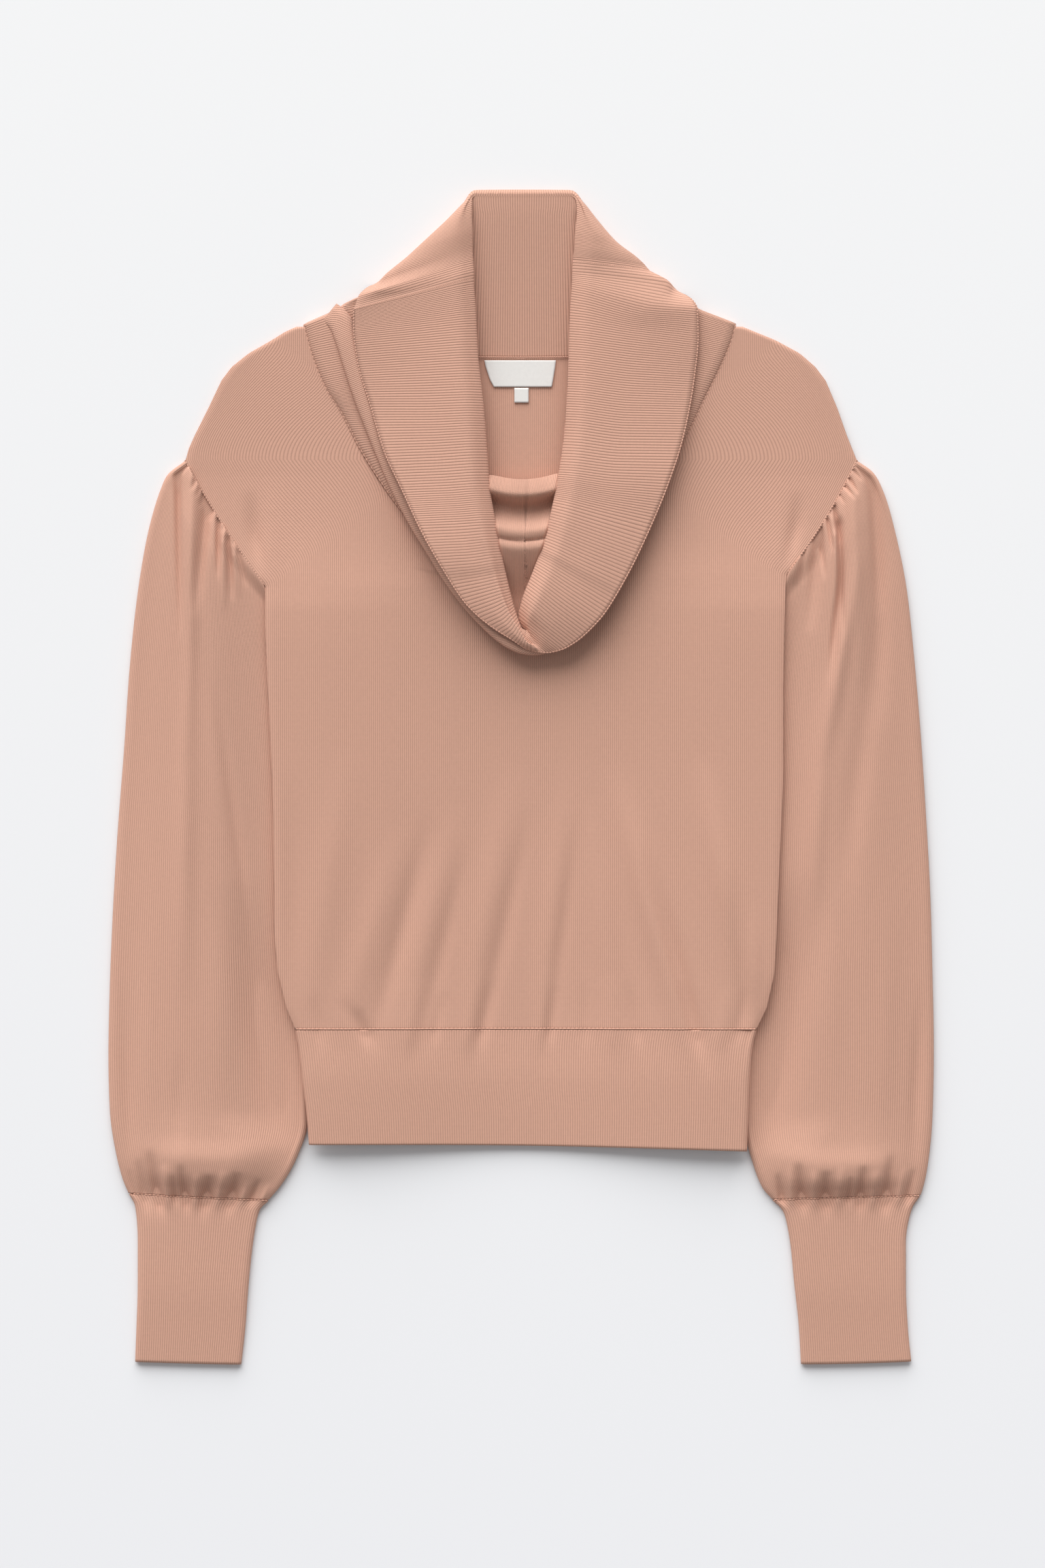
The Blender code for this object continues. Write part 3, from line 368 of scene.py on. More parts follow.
def piece(name, blocks, mat, node, thickness, offset, up=None):
    """Cloth from grids of (points, map) whose shared edges are joined; up=None is a tube."""
    bm = bmesh.new()
    layer = bm.loops.layers.uv.new("lay")
    for points, lay in blocks:
        along, across = points.shape[:2]
        made = bmesh.ops.create_grid(bm, x_segments=across - 1, y_segments=along - 1, size=0.5)
        grid = sorted(made["verts"], key=lambda v: (round(v.co.y, 5), round(v.co.x, 5)))
        flat, flat_lay = points.reshape(-1, 3), lay.reshape(-1, 2)
        for vert, co, uv in zip(grid, flat.tolist(), flat_lay.tolist()):
            vert.co = co
            for loop in vert.link_loops:
                loop[layer].uv = uv
    bmesh.ops.remove_doubles(bm, verts=bm.verts, dist=0.00001)
    bm.normal_update()
    if up is None:
        bmesh.ops.recalc_face_normals(bm, faces=bm.faces)
    elif (sum(face.normal.z * face.calc_area() for face in bm.faces) > 0) != up:
        bmesh.ops.reverse_faces(bm, faces=bm.faces)
    mesh = bpy.data.meshes.new(name)
    bm.to_mesh(mesh)
    bm.free()
    mesh.shade_smooth()
    mesh.materials.append(mat)
    obj = bpy.data.objects.new(name, mesh)
    knit.objects.link(obj)
    wall = obj.modifiers.new("wall", "SOLIDIFY")
    wall.thickness = thickness * MM
    wall.offset = offset
    if node:
        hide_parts(node)
    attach(obj, "root")
    return obj


def seam(name, mat, centre, radius_mm, pitch_mm):
    """A soft round seam through centre points, with one bead for each stitch of the pitch."""
    centre = np.asarray(centre, float)
    run = np.concatenate(([0.0], np.cumsum(np.linalg.norm(np.diff(centre, axis=0), axis=1))))
    spacing = pitch_mm / 6 * MM
    at = np.linspace(0, run[-1], max(int(run[-1] / spacing), 2))
    centre = np.stack([np.interp(at, run, centre[:, k]) for k in range(3)], axis=-1)
    along = np.gradient(centre, axis=0)
    along /= np.linalg.norm(along, axis=1)[:, None]
    side = np.cross(along, (0.0, 0.0, 1.0))
    side /= np.linalg.norm(side, axis=1)[:, None]
    lift = np.cross(side, along)
    radius = radius_mm * MM * (0.4 + 0.6 * np.abs(np.cos(np.pi * at / (pitch_mm * MM))))
    turns = np.linspace(0, 2 * np.pi, 9)
    points = (centre[:, None] + radius[:, None, None]
              * (np.cos(turns)[None, :, None] * side[:, None] + np.sin(turns)[None, :, None]
                 * lift[:, None]))
    lay = np.stack(np.broadcast_arrays(turns[None, :] * radius_mm * MM, at[:, None]), axis=-1)
    return piece(name, [(points, lay)], mat, None, SEAM_WALL, -1.0)


def flat_section(width_mm, depth_mm, top_count, under_count):
    """Loop of (share across, share of half depth) round a flattened tube."""
    r = depth_mm * 0.5 * BEND
    bend = r * (1 - np.cos(np.linspace(0, 0.5 * np.pi, 6)[:-1]))
    rise = [float(rim_curve(depth_mm, d)) for d in bend]
    loop = [(d / width_mm, h) for d, h in zip(bend, rise)]
    loop += [(u, 1.0) for u in np.linspace(r / width_mm, 1 - r / width_mm, top_count)]
    loop += [(1 - d / width_mm, h) for d, h in reversed(list(zip(bend, rise)))]
    loop += [(1 - d / width_mm, -h) for d, h in list(zip(bend, rise))[1:]]
    loop += [(u, -1.0) for u in np.linspace(1 - r / width_mm, r / width_mm, under_count)]
    loop += [(d / width_mm, -h) for d, h in reversed(list(zip(bend, rise)))]
    return np.array(loop)


def flat_tube(name, mat, node, table, positions, counts, base, folds, puff=0.0):
    """A tube laid flat, through section rows at the given row positions."""
    rows = ease(range(len(table)), table, positions)
    widths = np.hypot(*(rows[:, 4:6] - rows[:, 0:2]).T) * STEP / MM
    mean = widths.mean()
    points, lays = [], []
    line = np.array(PUFF_LINE)
    travel, last = 0.0, None
    for position, row, width in zip(positions, rows, widths):
        section = flat_section(width, row[6], *counts)
        u, h = section[:, 0], section[:, 1]
        plan = bow(row, u)
        x, y = plan[:, 0], plan[:, 1]
        z = base(x, y, position) + row[6] * 0.5 * (1 + h)
        top = h > 0.99
        free = smoothstep(10.8, 11.8, position)
        swell = smoothstep(0.0, 0.4, u) * (1 - smoothstep(0.5 + 0.12 * free, 0.87 + 0.13 * free, u))
        puffed = puff * float(ease(line[:, 0], line[:, 1], position)[0, 0]) if puff else 0.0
        lift = fold_height(x, y, *folds) + swell * puffed
        z = z + np.where(top, np.maximum(lift, AIR + 2 * WALL - row[6]), 0.0)
        points.append(metres(x, y, z))
        middle = row[2:4]
        travel += 0.0 if last is None else float(np.hypot(*(middle - last))) * STEP
        last = middle
        steps = np.hypot(np.diff(u) * mean, np.diff(h) * row[6] * 0.5) * MM
        round_u = np.concatenate(([0.0], np.cumsum(steps)))
        lays.append(np.stack((round_u, np.full(len(u), -travel)), axis=-1))
    return piece(name, [(np.array(points), np.array(lays))], mat, node, WALL, -1.0)


def collar_path(row):
    """Key points of one collar section, neck seam to free edge, in plan steps and mm."""
    neck, turn, roll = np.array(row[0:3]), np.array(row[3:5]), np.array(row[7:10])
    turn_in, turn_out = row[5], row[6]
    over, over_in, over_out = np.array(row[10:12]), row[12], row[13]
    edge = np.array(row[14:17])

    def near(origin, target, reach):
        way = np.asarray(target[:2]) - np.asarray(origin[:2])
        length = max(np.hypot(*way), 1e-6)
        return np.asarray(origin[:2]) + way / length * min(reach, length * 0.45)

    def point(plan, z):
        return np.array((plan[0], plan[1], z))

    inner = turn + (roll[:2] - turn) * 0.5
    low = turn_out + 0.4 * smoothstep(6.0, 10.0, roll[2])
    apex = smoothstep(15.0, 16.4, roll[2])
    crest = (over_in + 3.0 * smoothstep(9.8, 10.8, roll[2])
             + (ROLL_RISE - 3.0) * smoothstep(10.5, 16.0, roll[2]))
    rim = edge[2] + EDGE_RISE * smoothstep(12.0, 16.0, roll[2]) + 3.5 * apex
    tucked = 1 - smoothstep(3.0, 12.0, over_out)
    swell = STAND_SWELL * smoothstep(2.0, 3.5, neck[2])
    return np.array([
        neck,
        point(near(neck, turn, 9.0), neck[2] + 0.15 + swell),
        point(near(turn, neck, 8.0), turn_in),
        point(turn, (turn_in + turn_out) * 0.5),
        point(near(turn, roll, 8.0), turn_out),
        point(inner, low),
        point(near(roll, over, 8.0), low + (crest - low) * 0.12),
        point(roll[:2], low + (crest - low) * 0.42),
        point(near(roll, over, 9.0), low + (crest - low) * 0.72),
        point(near(roll, over, 28.0), low + (crest - low) * 0.97),
        point(over, tucked * (over_in * 0.45 + over_out * 0.55)
              + (1 - tucked) * (crest * 0.55 + rim * 0.45 + 0.8)),
        point(near(over, edge, 12.0) * tucked + (over + edge[:2]) * 0.5 * (1 - tucked),
              tucked * over_out + (1 - tucked) * (crest * 0.27 + rim * 0.73 + 0.7)),
        point(edge[:2], rim),
    ])


def cowl_drape(paths, inside, table):
    """Lay the cloth inside the cowl in soft drapes that sag between the two roll lines."""
    keys = np.array(table, float)
    low = int(np.argmax(keys[:, 8]))
    left, right = keys[:low + 1], keys[low:][::-1]
    x, y, z = (paths[:, inside, k] for k in range(3))
    gap = np.minimum(x - np.interp(y, left[:, 8], left[:, 7]),
                     np.interp(y, right[:, 8], right[:, 7]) - x)
    profile = np.array(COWL_PROFILE)
    level = y + COWL_SAG * np.clip((x - MIDDLE_X) / COWL_HALF, -1.3, 1.3)**2
    level = np.clip(level, COWL_TOP, COWL_END)
    drape = ease(profile[:, 0], profile[:, 1], level.ravel()).reshape(x.shape)
    share = smoothstep(-7.0, 3.0, gap) * smoothstep(COWL_TOP, COWL_TOP + 10, y)
    paths[:, inside, 2] = z + (drape - z) * share


def lower_layer():
    """The collar's lower layer: a lip folded back under the fall."""
    keys = np.array(LOWER_LAYER, float)
    line = ease(range(len(keys)), keys, np.linspace(0, len(keys) - 1, 220))
    way = np.gradient(line[:, :2], axis=0)
    way /= np.linalg.norm(way, axis=1)[:, None]
    inward = np.stack((way[:, 1], -way[:, 0]), axis=-1)
    rows = []
    for reach, drop in ((34, 1.4), (22, 0.5), (10, 0.0), (4, 0.25), (1, 1.0), (0, 1.9), (1, 2.8),
                        (5, 3.4), (20, 3.6)):
        rows.append(np.concatenate((line[:, :2] + reach * inward,
                                    np.maximum(line[:, 2:] - drop, 4.6)), axis=1))
    rows = np.stack(rows, axis=1)
    points = metres(rows[..., 0], rows[..., 1], rows[..., 2])
    run = np.concatenate(([0.0], np.cumsum(np.linalg.norm(np.diff(points[:, 5], axis=0), axis=1))))
    runs = np.linalg.norm(np.diff(points, axis=1), axis=2)
    runs = np.concatenate((np.zeros((len(line), 1)), np.cumsum(runs, axis=1)), axis=1)
    return points, np.stack((run[:, None] + 0.9 * runs, runs), axis=-1)


def collar(name, mat, node, table, columns, spots):
    """Ribbed collar: a grid of sections, mapped round the neck and along the rib."""
    keys = np.array([collar_path(row) for row in table])
    flat = ease(range(len(table)), keys.reshape(len(table), -1),
                np.linspace(0, len(table) - 1, columns))
    paths = np.array([ease(range(13), row.reshape(13, 3), spots) for row in flat])
    if table is COLLAR_FRONT:
        turned = (spots > 2.0) & (spots < 5.5)
        sag = COWL_SAG * (1 - np.clip((paths[:, turned, 0] - MIDDLE_X) / COWL_HALF, -1, 1)**2)
        paths[:, turned, 1] += sag * (paths[:, turned, 1] > COWL_TOP) * smoothstep(
            5.5, 4.4, spots[turned])
        cowl_drape(paths, (spots > 3.0) & (spots < 6.05), table)
    points = metres(paths[..., 0], paths[..., 1], paths[..., 2])
    rounds = np.linalg.norm(np.diff(points, axis=0), axis=2)
    rounds = np.concatenate(([0.0], np.cumsum(rounds.mean(axis=1))))
    runs = np.linalg.norm(np.diff(points, axis=1), axis=2)
    runs = np.concatenate((np.zeros((columns, 1)), np.cumsum(runs, axis=1)), axis=1)
    lay = np.stack((np.repeat(rounds[:, None], len(spots), axis=1), runs), axis=-1)
    blocks = [(points, lay)] + ([lower_layer()] if table is COLLAR_FRONT else [])
    return piece(name, blocks, mat, node, WALL, 0.0)


def collar_line(row, first, last, count, lift):
    """A line over one collar section, between two of its key points."""
    keys = collar_path(row)
    line = ease(range(13), keys, np.linspace(first, last, count))
    return metres(line[:, 0], line[:, 1], line[:, 2] + lift)


def neck_x(table, y):
    """Plan x of a panel's neckline on both sides at a height y."""
    keys = np.array([row[0:2] for row in table], float)
    dense = ease(range(len(keys)), keys, np.linspace(0, len(keys) - 1, 800))
    low = int(np.argmax(dense[:, 1]))
    left = np.interp(y, dense[:low + 1, 1], dense[:low + 1, 0])
    right = np.interp(y, dense[low:, 1][::-1], dense[low:, 0][::-1])
    return left, right


def folded_share(x, y):
    """Rise of the body wall from its side and shoulder edges, none along the armholes."""
    left, right = edge_x(y)
    inside = np.minimum(x - left, right - x) * STEP / MM
    underarm_y = np.where(x - left < right - x, SLEEVE_LEFT[0][5], SLEEVE_RIGHT[0][5])
    to_end = np.minimum(y - ARMHOLE_TOP_Y, underarm_y - y) * STEP / MM
    inside = np.where(to_end > 0, np.hypot(np.maximum(inside, 0.0), to_end), inside)
    return np.sin(np.clip(inside / EDGE_SOFT, 0.0, 1.0) * np.pi * 0.5)


def front_surface(x, y):
    """Height of the front's outer side, with its gathers and drapes, mm."""
    left, right = edge_x(y)
    fade = smoothstep(0, 40, np.minimum(x - left, right - x))
    rise = RIM_LIFT + (BODY_DEPTH * 0.5 - RIM_LIFT) * folded_share(x, y)
    plain = body_base(x, y) + BODY_DEPTH * 0.5 + rise
    folded = plain + fade * fold_height(x, y, BODY_GATHERS, BODY_DRAPES)
    return np.maximum(folded, np.minimum(plain, LOWEST_TROUGH))


def back_surface(x, y):
    """Height of the back's underside, mm."""
    drop = RIM_LIFT + (BODY_DEPTH * 0.5 - RIM_LIFT) * folded_share(x, y)
    return body_base(x, y) + BODY_DEPTH * 0.5 - drop


def wale_run(x, y):
    """Plan x for the wales: they lean to run beside the armholes and straighten inwards."""
    left, right = edge_x(np.maximum(y, ARMHOLE_TOP_Y))
    strength = smoothstep(470.0, ARMHOLE_TOP_Y, y)
    run = x
    for edge, line, way in ((left, BODY_EDGE[-1][1], 1.0), (right, BODY_EDGE[-1][2], -1.0)):
        lean = np.where(y < 900, (edge - line) * strength, 0.0)
        spread = 1.5 * np.abs(lean) + 6.0
        inward = (x - line) * way
        run = run - lean * (1 - smoothstep(-0.6 * spread, 1.4 * spread, inward))
    return run


def panel(name, mat, node, ys, neck_ys, neck_table, surface, across, up):
    """A body panel from hem to shoulders with a neck opening that parts it in two."""
    rim = np.array((0.0, 1.2, 3.0, 6.0, 9.0, 12.0))
    half = np.concatenate((rim, np.linspace(rim[-1], 100.0, across // 2)[1:]))

    def spread(reach):
        """Distances in from an edge: a fine rim, then even steps."""
        fine = rim[-1] * min(1.0, reach / 60.0)
        return np.where(half <= rim[-1], half * fine / rim[-1],
                        fine + (half - rim[-1]) / (100.0 - rim[-1]) * (reach - fine))

    def line(left, right):
        steps = spread((right - left) * 0.5)
        return np.concatenate((left + steps, (right - steps[::-1])[1:]))

    def block(xs, rows_y):
        ys_grid = np.repeat(np.array(rows_y, float)[:, None], xs.shape[1], axis=1)
        points = metres(xs, ys_grid, surface(xs, ys_grid))
        return points, np.stack((wale_run(xs, ys_grid) * STEP, points[..., 1]), axis=-1)

    blocks = [block(np.array([line(*edge_x(y)) for y in ys]), ys)]
    middle = len(half) - 1
    for side in (0, 1):
        full = line(*edge_x(ys[-1]))
        xs = [full[:middle + 1] if side == 0 else full[middle:]]
        for y in neck_ys:
            left, right = edge_x(y)
            inner = neck_x(neck_table, y)[side]
            xs.append(left + spread(inner - left) if side == 0
                      else right - spread(right - inner)[::-1])
        blocks.append(block(np.array(xs), [ys[-1]] + list(neck_ys)))
    return piece(name, blocks, mat, node, WALL, -1.0, up=up)


def group(name, inputs, outputs):
    """A shader node group with named sockets; inputs are (name, type, default)."""
    tree = bpy.data.node_groups.new(name, "ShaderNodeTree")
    for label, kind, default in inputs:
        socket = tree.interface.new_socket(name=label, in_out="INPUT", socket_type=kind)
        if default is not None:
            socket.default_value = default
    for label, kind in outputs:
        tree.interface.new_socket(name=label, in_out="OUTPUT", socket_type=kind)
    return tree, tree.nodes.new("NodeGroupInput"), tree.nodes.new("NodeGroupOutput")


def math(tree, operation, a, b=None, c=None, clamp=False):
    """A math node; returns its output socket."""
    node = tree.nodes.new("ShaderNodeMath")
    node.operation = operation
    node.use_clamp = clamp
    for slot, value in enumerate((a, b, c)):
        if value is None:
            continue
        if isinstance(value, (int, float)):
            node.inputs[slot].default_value = value
        else:
            tree.links.new(value, node.inputs[slot])
    return node.outputs[0]


def knit_group(name, lean):
    """Rows of knit: lean bends each course into stitches, 0 leaves plain ribs."""
    tree, given, out = group(
        name,
        [("Lay", "NodeSocketVector", None), ("Wale", "NodeSocketFloat", 0.00145),
         ("Course", "NodeSocketFloat", 0.001), ("Rib", "NodeSocketFloat", 1.0)],
        [("Height", "NodeSocketFloat"), ("Groove", "NodeSocketFloat"),
         ("Stitch", "NodeSocketFloat")])
    split = tree.nodes.new("ShaderNodeSeparateXYZ")
    tree.links.new(given.outputs["Lay"], split.inputs[0])
    wale = math(tree, "DIVIDE", split.outputs[0], given.outputs["Wale"])
    across = math(tree, "FRACT", wale)
    centred = math(tree, "ABSOLUTE", math(tree, "MULTIPLY_ADD", across, 2.0, -1.0))
    round_top = math(tree, "SUBTRACT", 1.0, math(tree, "POWER", centred, 2.4))
    course = math(tree, "DIVIDE", split.outputs[1], given.outputs["Course"])
    leaned = math(tree, "ADD", course, math(tree, "MULTIPLY", centred, lean))
    loop = math(tree, "FRACT", leaned)
    loop = math(tree, "ABSOLUTE", math(tree, "MULTIPLY_ADD", loop, 2.0, -1.0))
    stitch = math(tree, "SUBTRACT", 1.0, math(tree, "POWER", loop, 2.0))
    height = math(tree, "MULTIPLY_ADD", stitch, 0.35,
                  math(tree, "MULTIPLY", round_top, given.outputs["Rib"]))
    tree.links.new(height, out.inputs["Height"])
    tree.links.new(math(tree, "SUBTRACT", 1.0, round_top), out.inputs["Groove"])
    tree.links.new(stitch, out.inputs["Stitch"])
    return tree


def tone_and_groove_shade_group():
    """Slightly mottled yarn colour with a faint bloom of fibres, and painted shade in the grooves."""
    tree, given, out = group(
        "yarn_tone_groove_shade",
        [("Colour", "NodeSocketColor", (0.6, 0.36, 0.27, 1)),
         ("Groove", "NodeSocketFloat", 0.0), ("Stitch", "NodeSocketFloat", 1.0),
         ("Depth", "NodeSocketFloat", 0.3), ("Position", "NodeSocketVector", None)],
        [("Colour", "NodeSocketColor"), ("Roughness", "NodeSocketFloat")])
    mottle = tree.nodes.new("ShaderNodeTexNoise")
    mottle.inputs["Scale"].default_value = 420.0
    mottle.inputs["Detail"].default_value = 3.0
    tree.links.new(given.outputs["Position"], mottle.inputs["Vector"])
    wide = tree.nodes.new("ShaderNodeTexNoise")
    wide.inputs["Scale"].default_value = 9.0
    wide.inputs["Detail"].default_value = 2.0
    tree.links.new(given.outputs["Position"], wide.inputs["Vector"])
    # Painted shade: the grooves between wales and the gaps between stitches are coloured darker.
    painted_groove_shade = math(tree, "MULTIPLY", given.outputs["Groove"], given.outputs["Depth"])
    painted_groove_shade = math(tree, "MULTIPLY_ADD", math(tree, "SUBTRACT", 1.0, given.outputs["Stitch"]),
                0.06, painted_groove_shade)
    light = math(tree, "SUBTRACT", 1.02, painted_groove_shade)
    light = math(tree, "MULTIPLY_ADD", math(tree, "SUBTRACT", mottle.outputs["Fac"], 0.5), 0.10,
                 light)
    light = math(tree, "MULTIPLY_ADD", math(tree, "SUBTRACT", wide.outputs["Fac"], 0.5), 0.03,
                 light)
    scale = tree.nodes.new("ShaderNodeVectorMath")
    scale.operation = "SCALE"
    tree.links.new(given.outputs["Colour"], scale.inputs[0])
    tree.links.new(light, scale.inputs["Scale"])
    tree.links.new(scale.outputs[0], out.inputs["Colour"])
    rough = math(tree, "MULTIPLY_ADD", mottle.outputs["Fac"], 0.12, 0.82)
    tree.links.new(rough, out.inputs["Roughness"])
    return tree


JERSEY = knit_group("jersey", 0.55)
RIB = knit_group("rib", 0.35)
TONE_AND_GROOVE_SHADE = tone_and_groove_shade_group()


def knit_material(name, colour, kind, wale, course, relief, depth, bump):
    """Knitted cloth: wale, course and bump in mm, depth is how much shade is painted into the grooves."""
    mat = bpy.data.materials.new(name)
    mat.use_nodes = True
    tree = mat.node_tree
    shader = tree.nodes["Principled BSDF"]
    shader.inputs["Metallic"].default_value = 0.0
    shader.inputs["Specular IOR Level"].default_value = 0.2
    shader.inputs["Sheen Weight"].default_value = 0.12
    shader.inputs["Sheen Roughness"].default_value = 0.5
    shader.inputs["Sheen Tint"].default_value = (1.0, 0.86, 0.80, 1.0)
    lay = tree.nodes.new("ShaderNodeUVMap")
    lay.uv_map = "lay"
    spot = tree.nodes.new("ShaderNodeTexCoord")
    rows = tree.nodes.new("ShaderNodeGroup")
    rows.node_tree = kind
    rows.inputs["Wale"].default_value = wale * MM
    rows.inputs["Course"].default_value = course * MM
    rows.inputs["Rib"].default_value = relief
    tree.links.new(lay.outputs["UV"], rows.inputs["Lay"])
    # The tone node adds the yarn's mottle and paints shade into the grooves.
    tone_and_shade = tree.nodes.new("ShaderNodeGroup")
    tone_and_shade.node_tree = TONE_AND_GROOVE_SHADE
    tone_and_shade.inputs["Colour"].default_value = colour
    tone_and_shade.inputs["Depth"].default_value = depth
    tree.links.new(rows.outputs["Groove"], tone_and_shade.inputs["Groove"])
    tree.links.new(rows.outputs["Stitch"], tone_and_shade.inputs["Stitch"])
    tree.links.new(spot.outputs["Object"], tone_and_shade.inputs["Position"])
    tree.links.new(tone_and_shade.outputs["Colour"], shader.inputs["Base Color"])
    tree.links.new(tone_and_shade.outputs["Roughness"], shader.inputs["Roughness"])
    relief_node = tree.nodes.new("ShaderNodeBump")
    relief_node.inputs["Strength"].default_value = 1.0
    relief_node.inputs["Distance"].default_value = bump * MM
    tree.links.new(rows.outputs["Height"], relief_node.inputs["Height"])
    tree.links.new(relief_node.outputs["Normal"], shader.inputs["Normal"])
    return mat


YARN = (0.640, 0.366, 0.274, 1.0)
jersey = knit_material("fine_jersey", YARN, JERSEY, 1.45, 1.1, 1.0, 0.26, 0.16)
inside_jersey = knit_material("jersey_inside", YARN, JERSEY, 1.45, 1.1, 0.7, 0.28, 0.16)
rib = knit_material("fine_rib", YARN, RIB, 1.68, 1.0, 1.0, 0.30, 0.24)
band = knit_material("fine_rib_band", YARN, RIB, 1.66, 1.0, 1.0, 0.26, 0.18)
woven = knit_material("woven_label", (0.80, 0.79, 0.77, 1.0), JERSEY, 0.4, 0.4, 1.0, 0.05, 0.03)

# The garment's panels, tubes and collar.
front_rows = np.concatenate((np.linspace(1512.3, 862, 140), (857, 852, 847)))
front_neck = np.concatenate(((843.5, 838, 832), np.linspace(826, 481, 84)))
back_rows = np.concatenate((np.linspace(1511, 862, 60), np.linspace(850, 530, 90)))
back_neck = np.array((527.5, 526, 523, 516, 508, 500, 492, 486, 481))
front = panel("front_panel_knit", jersey, "front_panel", front_rows, front_neck, COLLAR_FRONT,
              front_surface, across=150, up=True)
back = panel("back_panel_knit", inside_jersey, "back_panel", back_rows, back_neck, COLLAR_BACK,
             back_surface, across=90, up=False)


def sleeve_base(x, y, position):
    """The sleeve head is lifted with the underarm and settles within two sections."""
    return side_rise(y) * (1 - smoothstep(0.0, 1.6, position))


def band_base(x, y, position):
    """The waistband keeps on at the height of the body above it."""
    return body_base(x, np.minimum(y, 1511))


def flat_base(x, y, position):
    """Cuffs lie on the ground."""
    return np.zeros_like(x)


SLEEVE_POSITIONS = np.linspace(0.0, 14.0, 170)
CUFF_POSITIONS = np.linspace(0, 5, 60)
SLEEVE_COUNTS, CUFF_COUNTS, BAND_COUNTS = (128, 20), (60, 20), (180, 40)   # top, underside
SLEEVE_PUFF = 7.0         # how far the sleeves swell, mm
sleeve_left = flat_tube("sleeve_left_knit", jersey, "sleeve_left", SLEEVE_LEFT,
                        SLEEVE_POSITIONS, SLEEVE_COUNTS, sleeve_base,
                        (SLEEVE_GATHERS_LEFT, SLEEVE_DRAPES_LEFT), SLEEVE_PUFF)
sleeve_right = flat_tube("sleeve_right_knit", jersey, "sleeve_right", SLEEVE_RIGHT,
                         SLEEVE_POSITIONS, SLEEVE_COUNTS, sleeve_base,
                         (SLEEVE_GATHERS_RIGHT, SLEEVE_DRAPES_RIGHT), SLEEVE_PUFF)
cuff_left = flat_tube("cuff_left_rib", band, "cuff_left", CUFF_LEFT,
                      CUFF_POSITIONS, CUFF_COUNTS, flat_base, (SLEEVE_GATHERS_LEFT, ()))
cuff_right = flat_tube("cuff_right_rib", band, "cuff_right", CUFF_RIGHT,
                       CUFF_POSITIONS, CUFF_COUNTS, flat_base, (SLEEVE_GATHERS_RIGHT, ()))
waistband = flat_tube("waistband_rib", band, "waistband", WAISTBAND,
                      np.linspace(0, 4, 50), BAND_COUNTS, band_base, (BODY_GATHERS, BODY_DRAPES))
# Places along a collar section, closest together where the stand turns and the roll bends.
SPOTS = np.concatenate((np.linspace(0, 1.9, 6), np.linspace(2, 4, 14), np.linspace(4.05, 6, 66),
                        np.linspace(6.1, 9, 26), np.linspace(9.15, 12, 16)))
collar_front = collar("collar_front_rib", rib, "collar_front", COLLAR_FRONT, 330, SPOTS)
collar_back = collar("collar_back_rib", rib, "collar_back", COLLAR_BACK, 206, SPOTS)


def label(name, node, table, columns, rows):
    """A bare woven label lying on the inside of the back."""
    ys = np.linspace(table[-1][0], table[0][0], rows)
    keys = np.array(table, float)
    left = np.interp(ys, keys[:, 0], keys[:, 1])
    right = np.interp(ys, keys[:, 0], keys[:, 2])
    xs = left[:, None] + (right - left)[:, None] * np.linspace(0, 1, columns)
    points = metres(xs, np.repeat(ys[:, None], columns, axis=1), WALL + SEAM_GAP)
    return piece(name, [(points, points[..., :2].copy())], woven, node,
                 LABEL_WALL, 1.0, up=True)


def on_front(x, y, lift):
    """Points that follow the front's surface, a little above or below it."""
    return metres(x, y, front_surface(x, y) + lift)


# Seams, each a row of soft stitches.
on_body, on_cuff = [], []
for side, sleeve in (("left", SLEEVE_LEFT), ("right", SLEEVE_RIGHT)):
    armhole = bow(sleeve[0], np.linspace(0.0, 1.0, 60))
    on_body.append(seam("armhole_seam_" + side, jersey,
                        on_front(armhole[:, 0], armhole[:, 1], -0.45),
                        radius_mm=0.75, pitch_mm=2.2))
waist_x = np.linspace(437, 1109, 200)
on_body.append(seam("waist_seam", jersey,
                    on_front(waist_x, 1510.8 + 0 * waist_x, 0.05), radius_mm=0.6, pitch_mm=2.9))
for side, cuff, folds in (("left", CUFF_LEFT, SLEEVE_GATHERS_LEFT),
                          ("right", CUFF_RIGHT, SLEEVE_GATHERS_RIGHT)):
    one_step_up = np.add(cuff[0], (0, -1, 0, -1, 0, -1, 0))
    line = bow(one_step_up, np.linspace(0.01, 0.99, 90))
    height = 4.95 + np.maximum(fold_height(line[:, 0], line[:, 1], folds), -2.2)
    on_cuff.append(seam("cuff_seam_" + side, jersey, metres(line[:, 0], line[:, 1], height),
                        radius_mm=0.5, pitch_mm=2.9))
neck_keys = np.array([row[0:3] for row in COLLAR_FRONT])
neck_line = ease(range(len(neck_keys)), neck_keys, np.linspace(0.3, len(neck_keys) - 1.3, 200))
on_body.append(seam("neck_seam", jersey, metres(neck_line[:, 0], neck_line[:, 1], 4.5),
                    radius_mm=0.7, pitch_mm=3.4))
back_keys = np.array([row[0:2] for row in COLLAR_BACK[6:11]])
back_line = ease(range(5), back_keys, np.linspace(0, 4, 80))
back_seam = seam("neck_seam_back", rib, metres(back_line[:, 0], back_line[:, 1] + 0.5, 2.5),
                 radius_mm=0.6, pitch_mm=1.6)
ends = np.array([collar_path(row)[12] for row in COLLAR_FRONT])
rim_line = ease(range(len(ends)), ends, np.linspace(0, len(ends) - 2.4, 400))
on_collar = [
    seam("collar_seam_left", rib, collar_line(COLLAR_FRONT[0], 7.4, 12, 120, 0.35),
         radius_mm=0.45, pitch_mm=1.3),
    seam("collar_seam_right", rib, collar_line(COLLAR_FRONT[-1], 7.4, 10.2, 120, 0.35),
         radius_mm=0.45, pitch_mm=1.3),
    seam("collar_edge", rib, metres(rim_line[:, 0], rim_line[:, 1], rim_line[:, 2] + 0.3),
         radius_mm=0.75, pitch_mm=2.25),
]
neck_label = label("neck_label_woven", "neck_label", NECK_LABEL, 40, 20)
size_label = label("size_label_woven", "size_label", SIZE_LABEL, 10, 10)

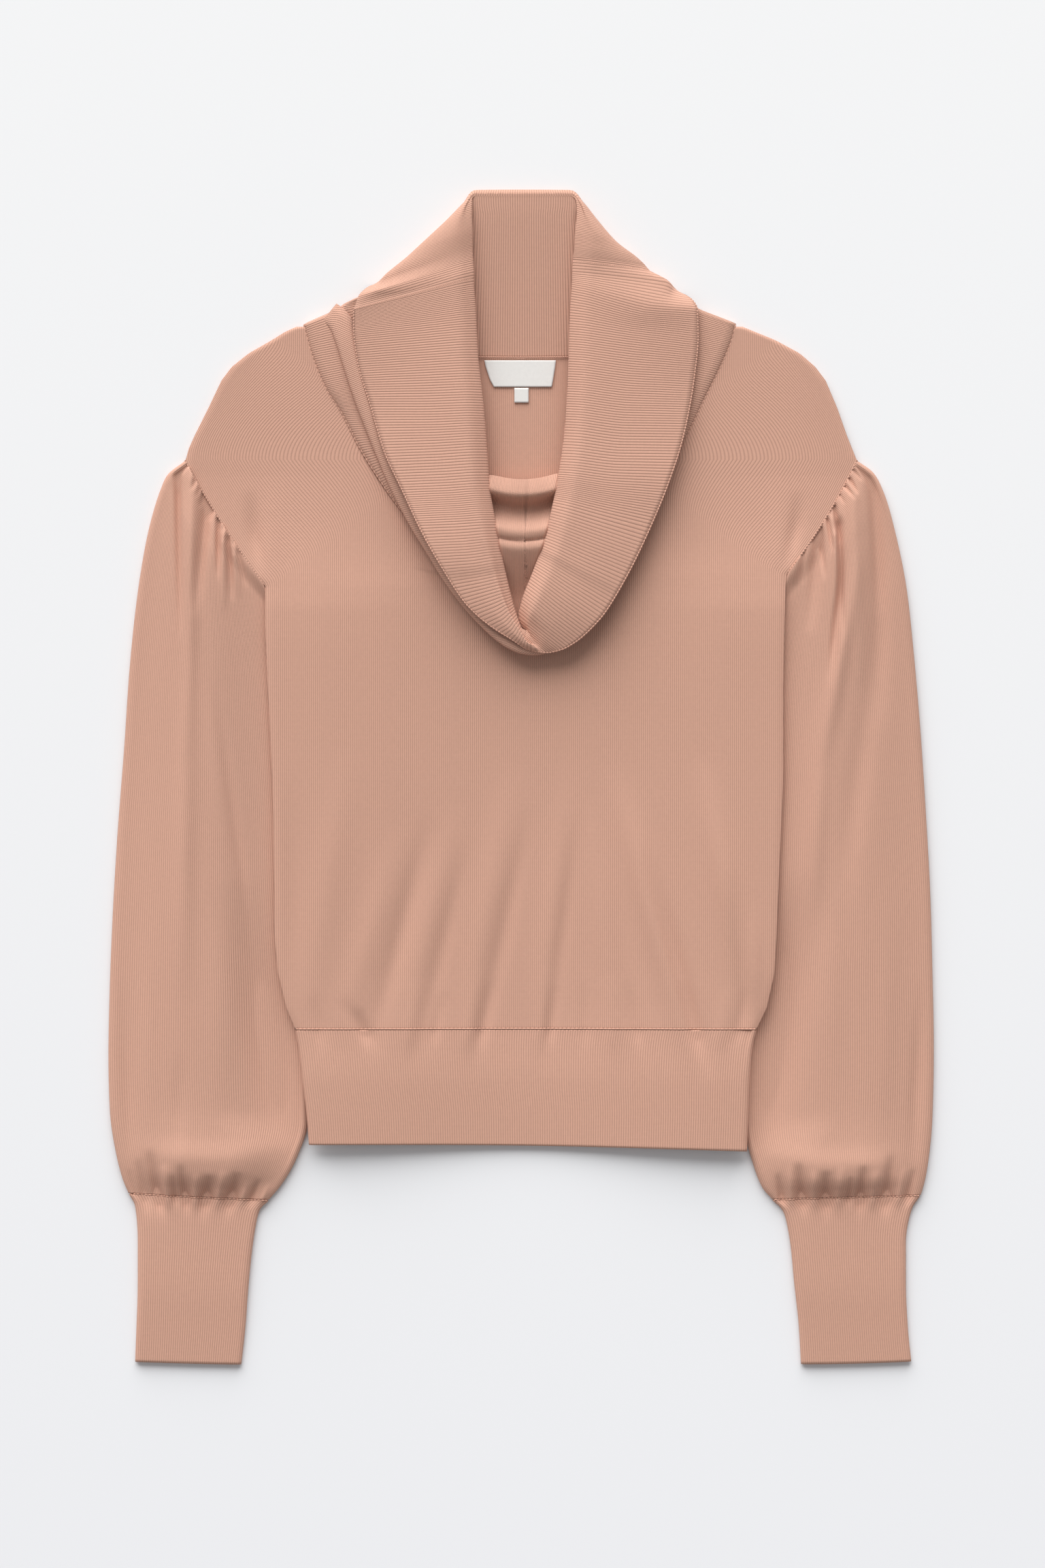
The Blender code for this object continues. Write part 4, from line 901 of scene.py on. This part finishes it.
# Ground, light and camera.
ground_mesh = bpy.data.meshes.new("ground")
bm = bmesh.new()
bmesh.ops.create_grid(bm, x_segments=1, y_segments=1, size=3.0)
bm.to_mesh(ground_mesh)
bm.free()
ground = bpy.data.objects.new("ground", ground_mesh)
bpy.context.scene.collection.objects.link(ground)
paper = bpy.data.materials.new("pale_ground")
paper.use_nodes = True
far = paper.node_tree.nodes.new("ShaderNodeSeparateXYZ")
spot = paper.node_tree.nodes.new("ShaderNodeTexCoord")
paper.node_tree.links.new(spot.outputs["Object"], far.inputs[0])
# Painted light: the ground is coloured lighter towards the top of the picture, where the light comes from,
# and darker towards the bottom.
painted_light_falloff = paper.node_tree.nodes.new("ShaderNodeMix")
painted_light_falloff.data_type = "RGBA"
painted_light_falloff.inputs[6].default_value = (0.815, 0.825, 0.855, 1.0)
painted_light_falloff.inputs[7].default_value = (0.875, 0.885, 0.90, 1.0)
paper.node_tree.links.new(math(paper.node_tree, "MULTIPLY_ADD", far.outputs["Y"], 0.9, 0.5, True),
                          painted_light_falloff.inputs[0])
paper.node_tree.links.new(painted_light_falloff.outputs[2],
                          paper.node_tree.nodes["Principled BSDF"].inputs["Base Color"])
paper.node_tree.nodes["Principled BSDF"].inputs["Roughness"].default_value = 0.95
paper.node_tree.nodes["Principled BSDF"].inputs["Specular IOR Level"].default_value = 0.1
ground_mesh.materials.append(paper)

world = bpy.data.worlds.new("studio")
bpy.context.scene.world = world
world.use_nodes = True
world.node_tree.nodes["Background"].inputs["Color"].default_value = (1.0, 1.0, 1.0, 1.0)
world.node_tree.nodes["Background"].inputs["Strength"].default_value = 0.36

sun = bpy.data.lights.new("window_light", "SUN")
sun.energy = 5.2
sun.angle = 1.25
sun.color = (1.0, 0.99, 0.975)
lamp = bpy.data.objects.new("window_light", sun)
lamp.rotation_euler = (-1.12, -0.42, 0.0)
bpy.context.scene.collection.objects.link(lamp)

camera_data = bpy.data.cameras.new("camera")
camera_data.lens = 100.0
camera_data.sensor_fit = "VERTICAL"
camera_data.sensor_height = 36.0
camera = bpy.data.objects.new("camera", camera_data)
camera.location = ((FRAME_X - MID_X) * STEP, (MID_Y - FRAME_Y) * STEP, CAMERA_HEIGHT)
bpy.context.scene.collection.objects.link(camera)
bpy.context.scene.camera = camera
bpy.context.scene.view_settings.view_transform = "Standard"
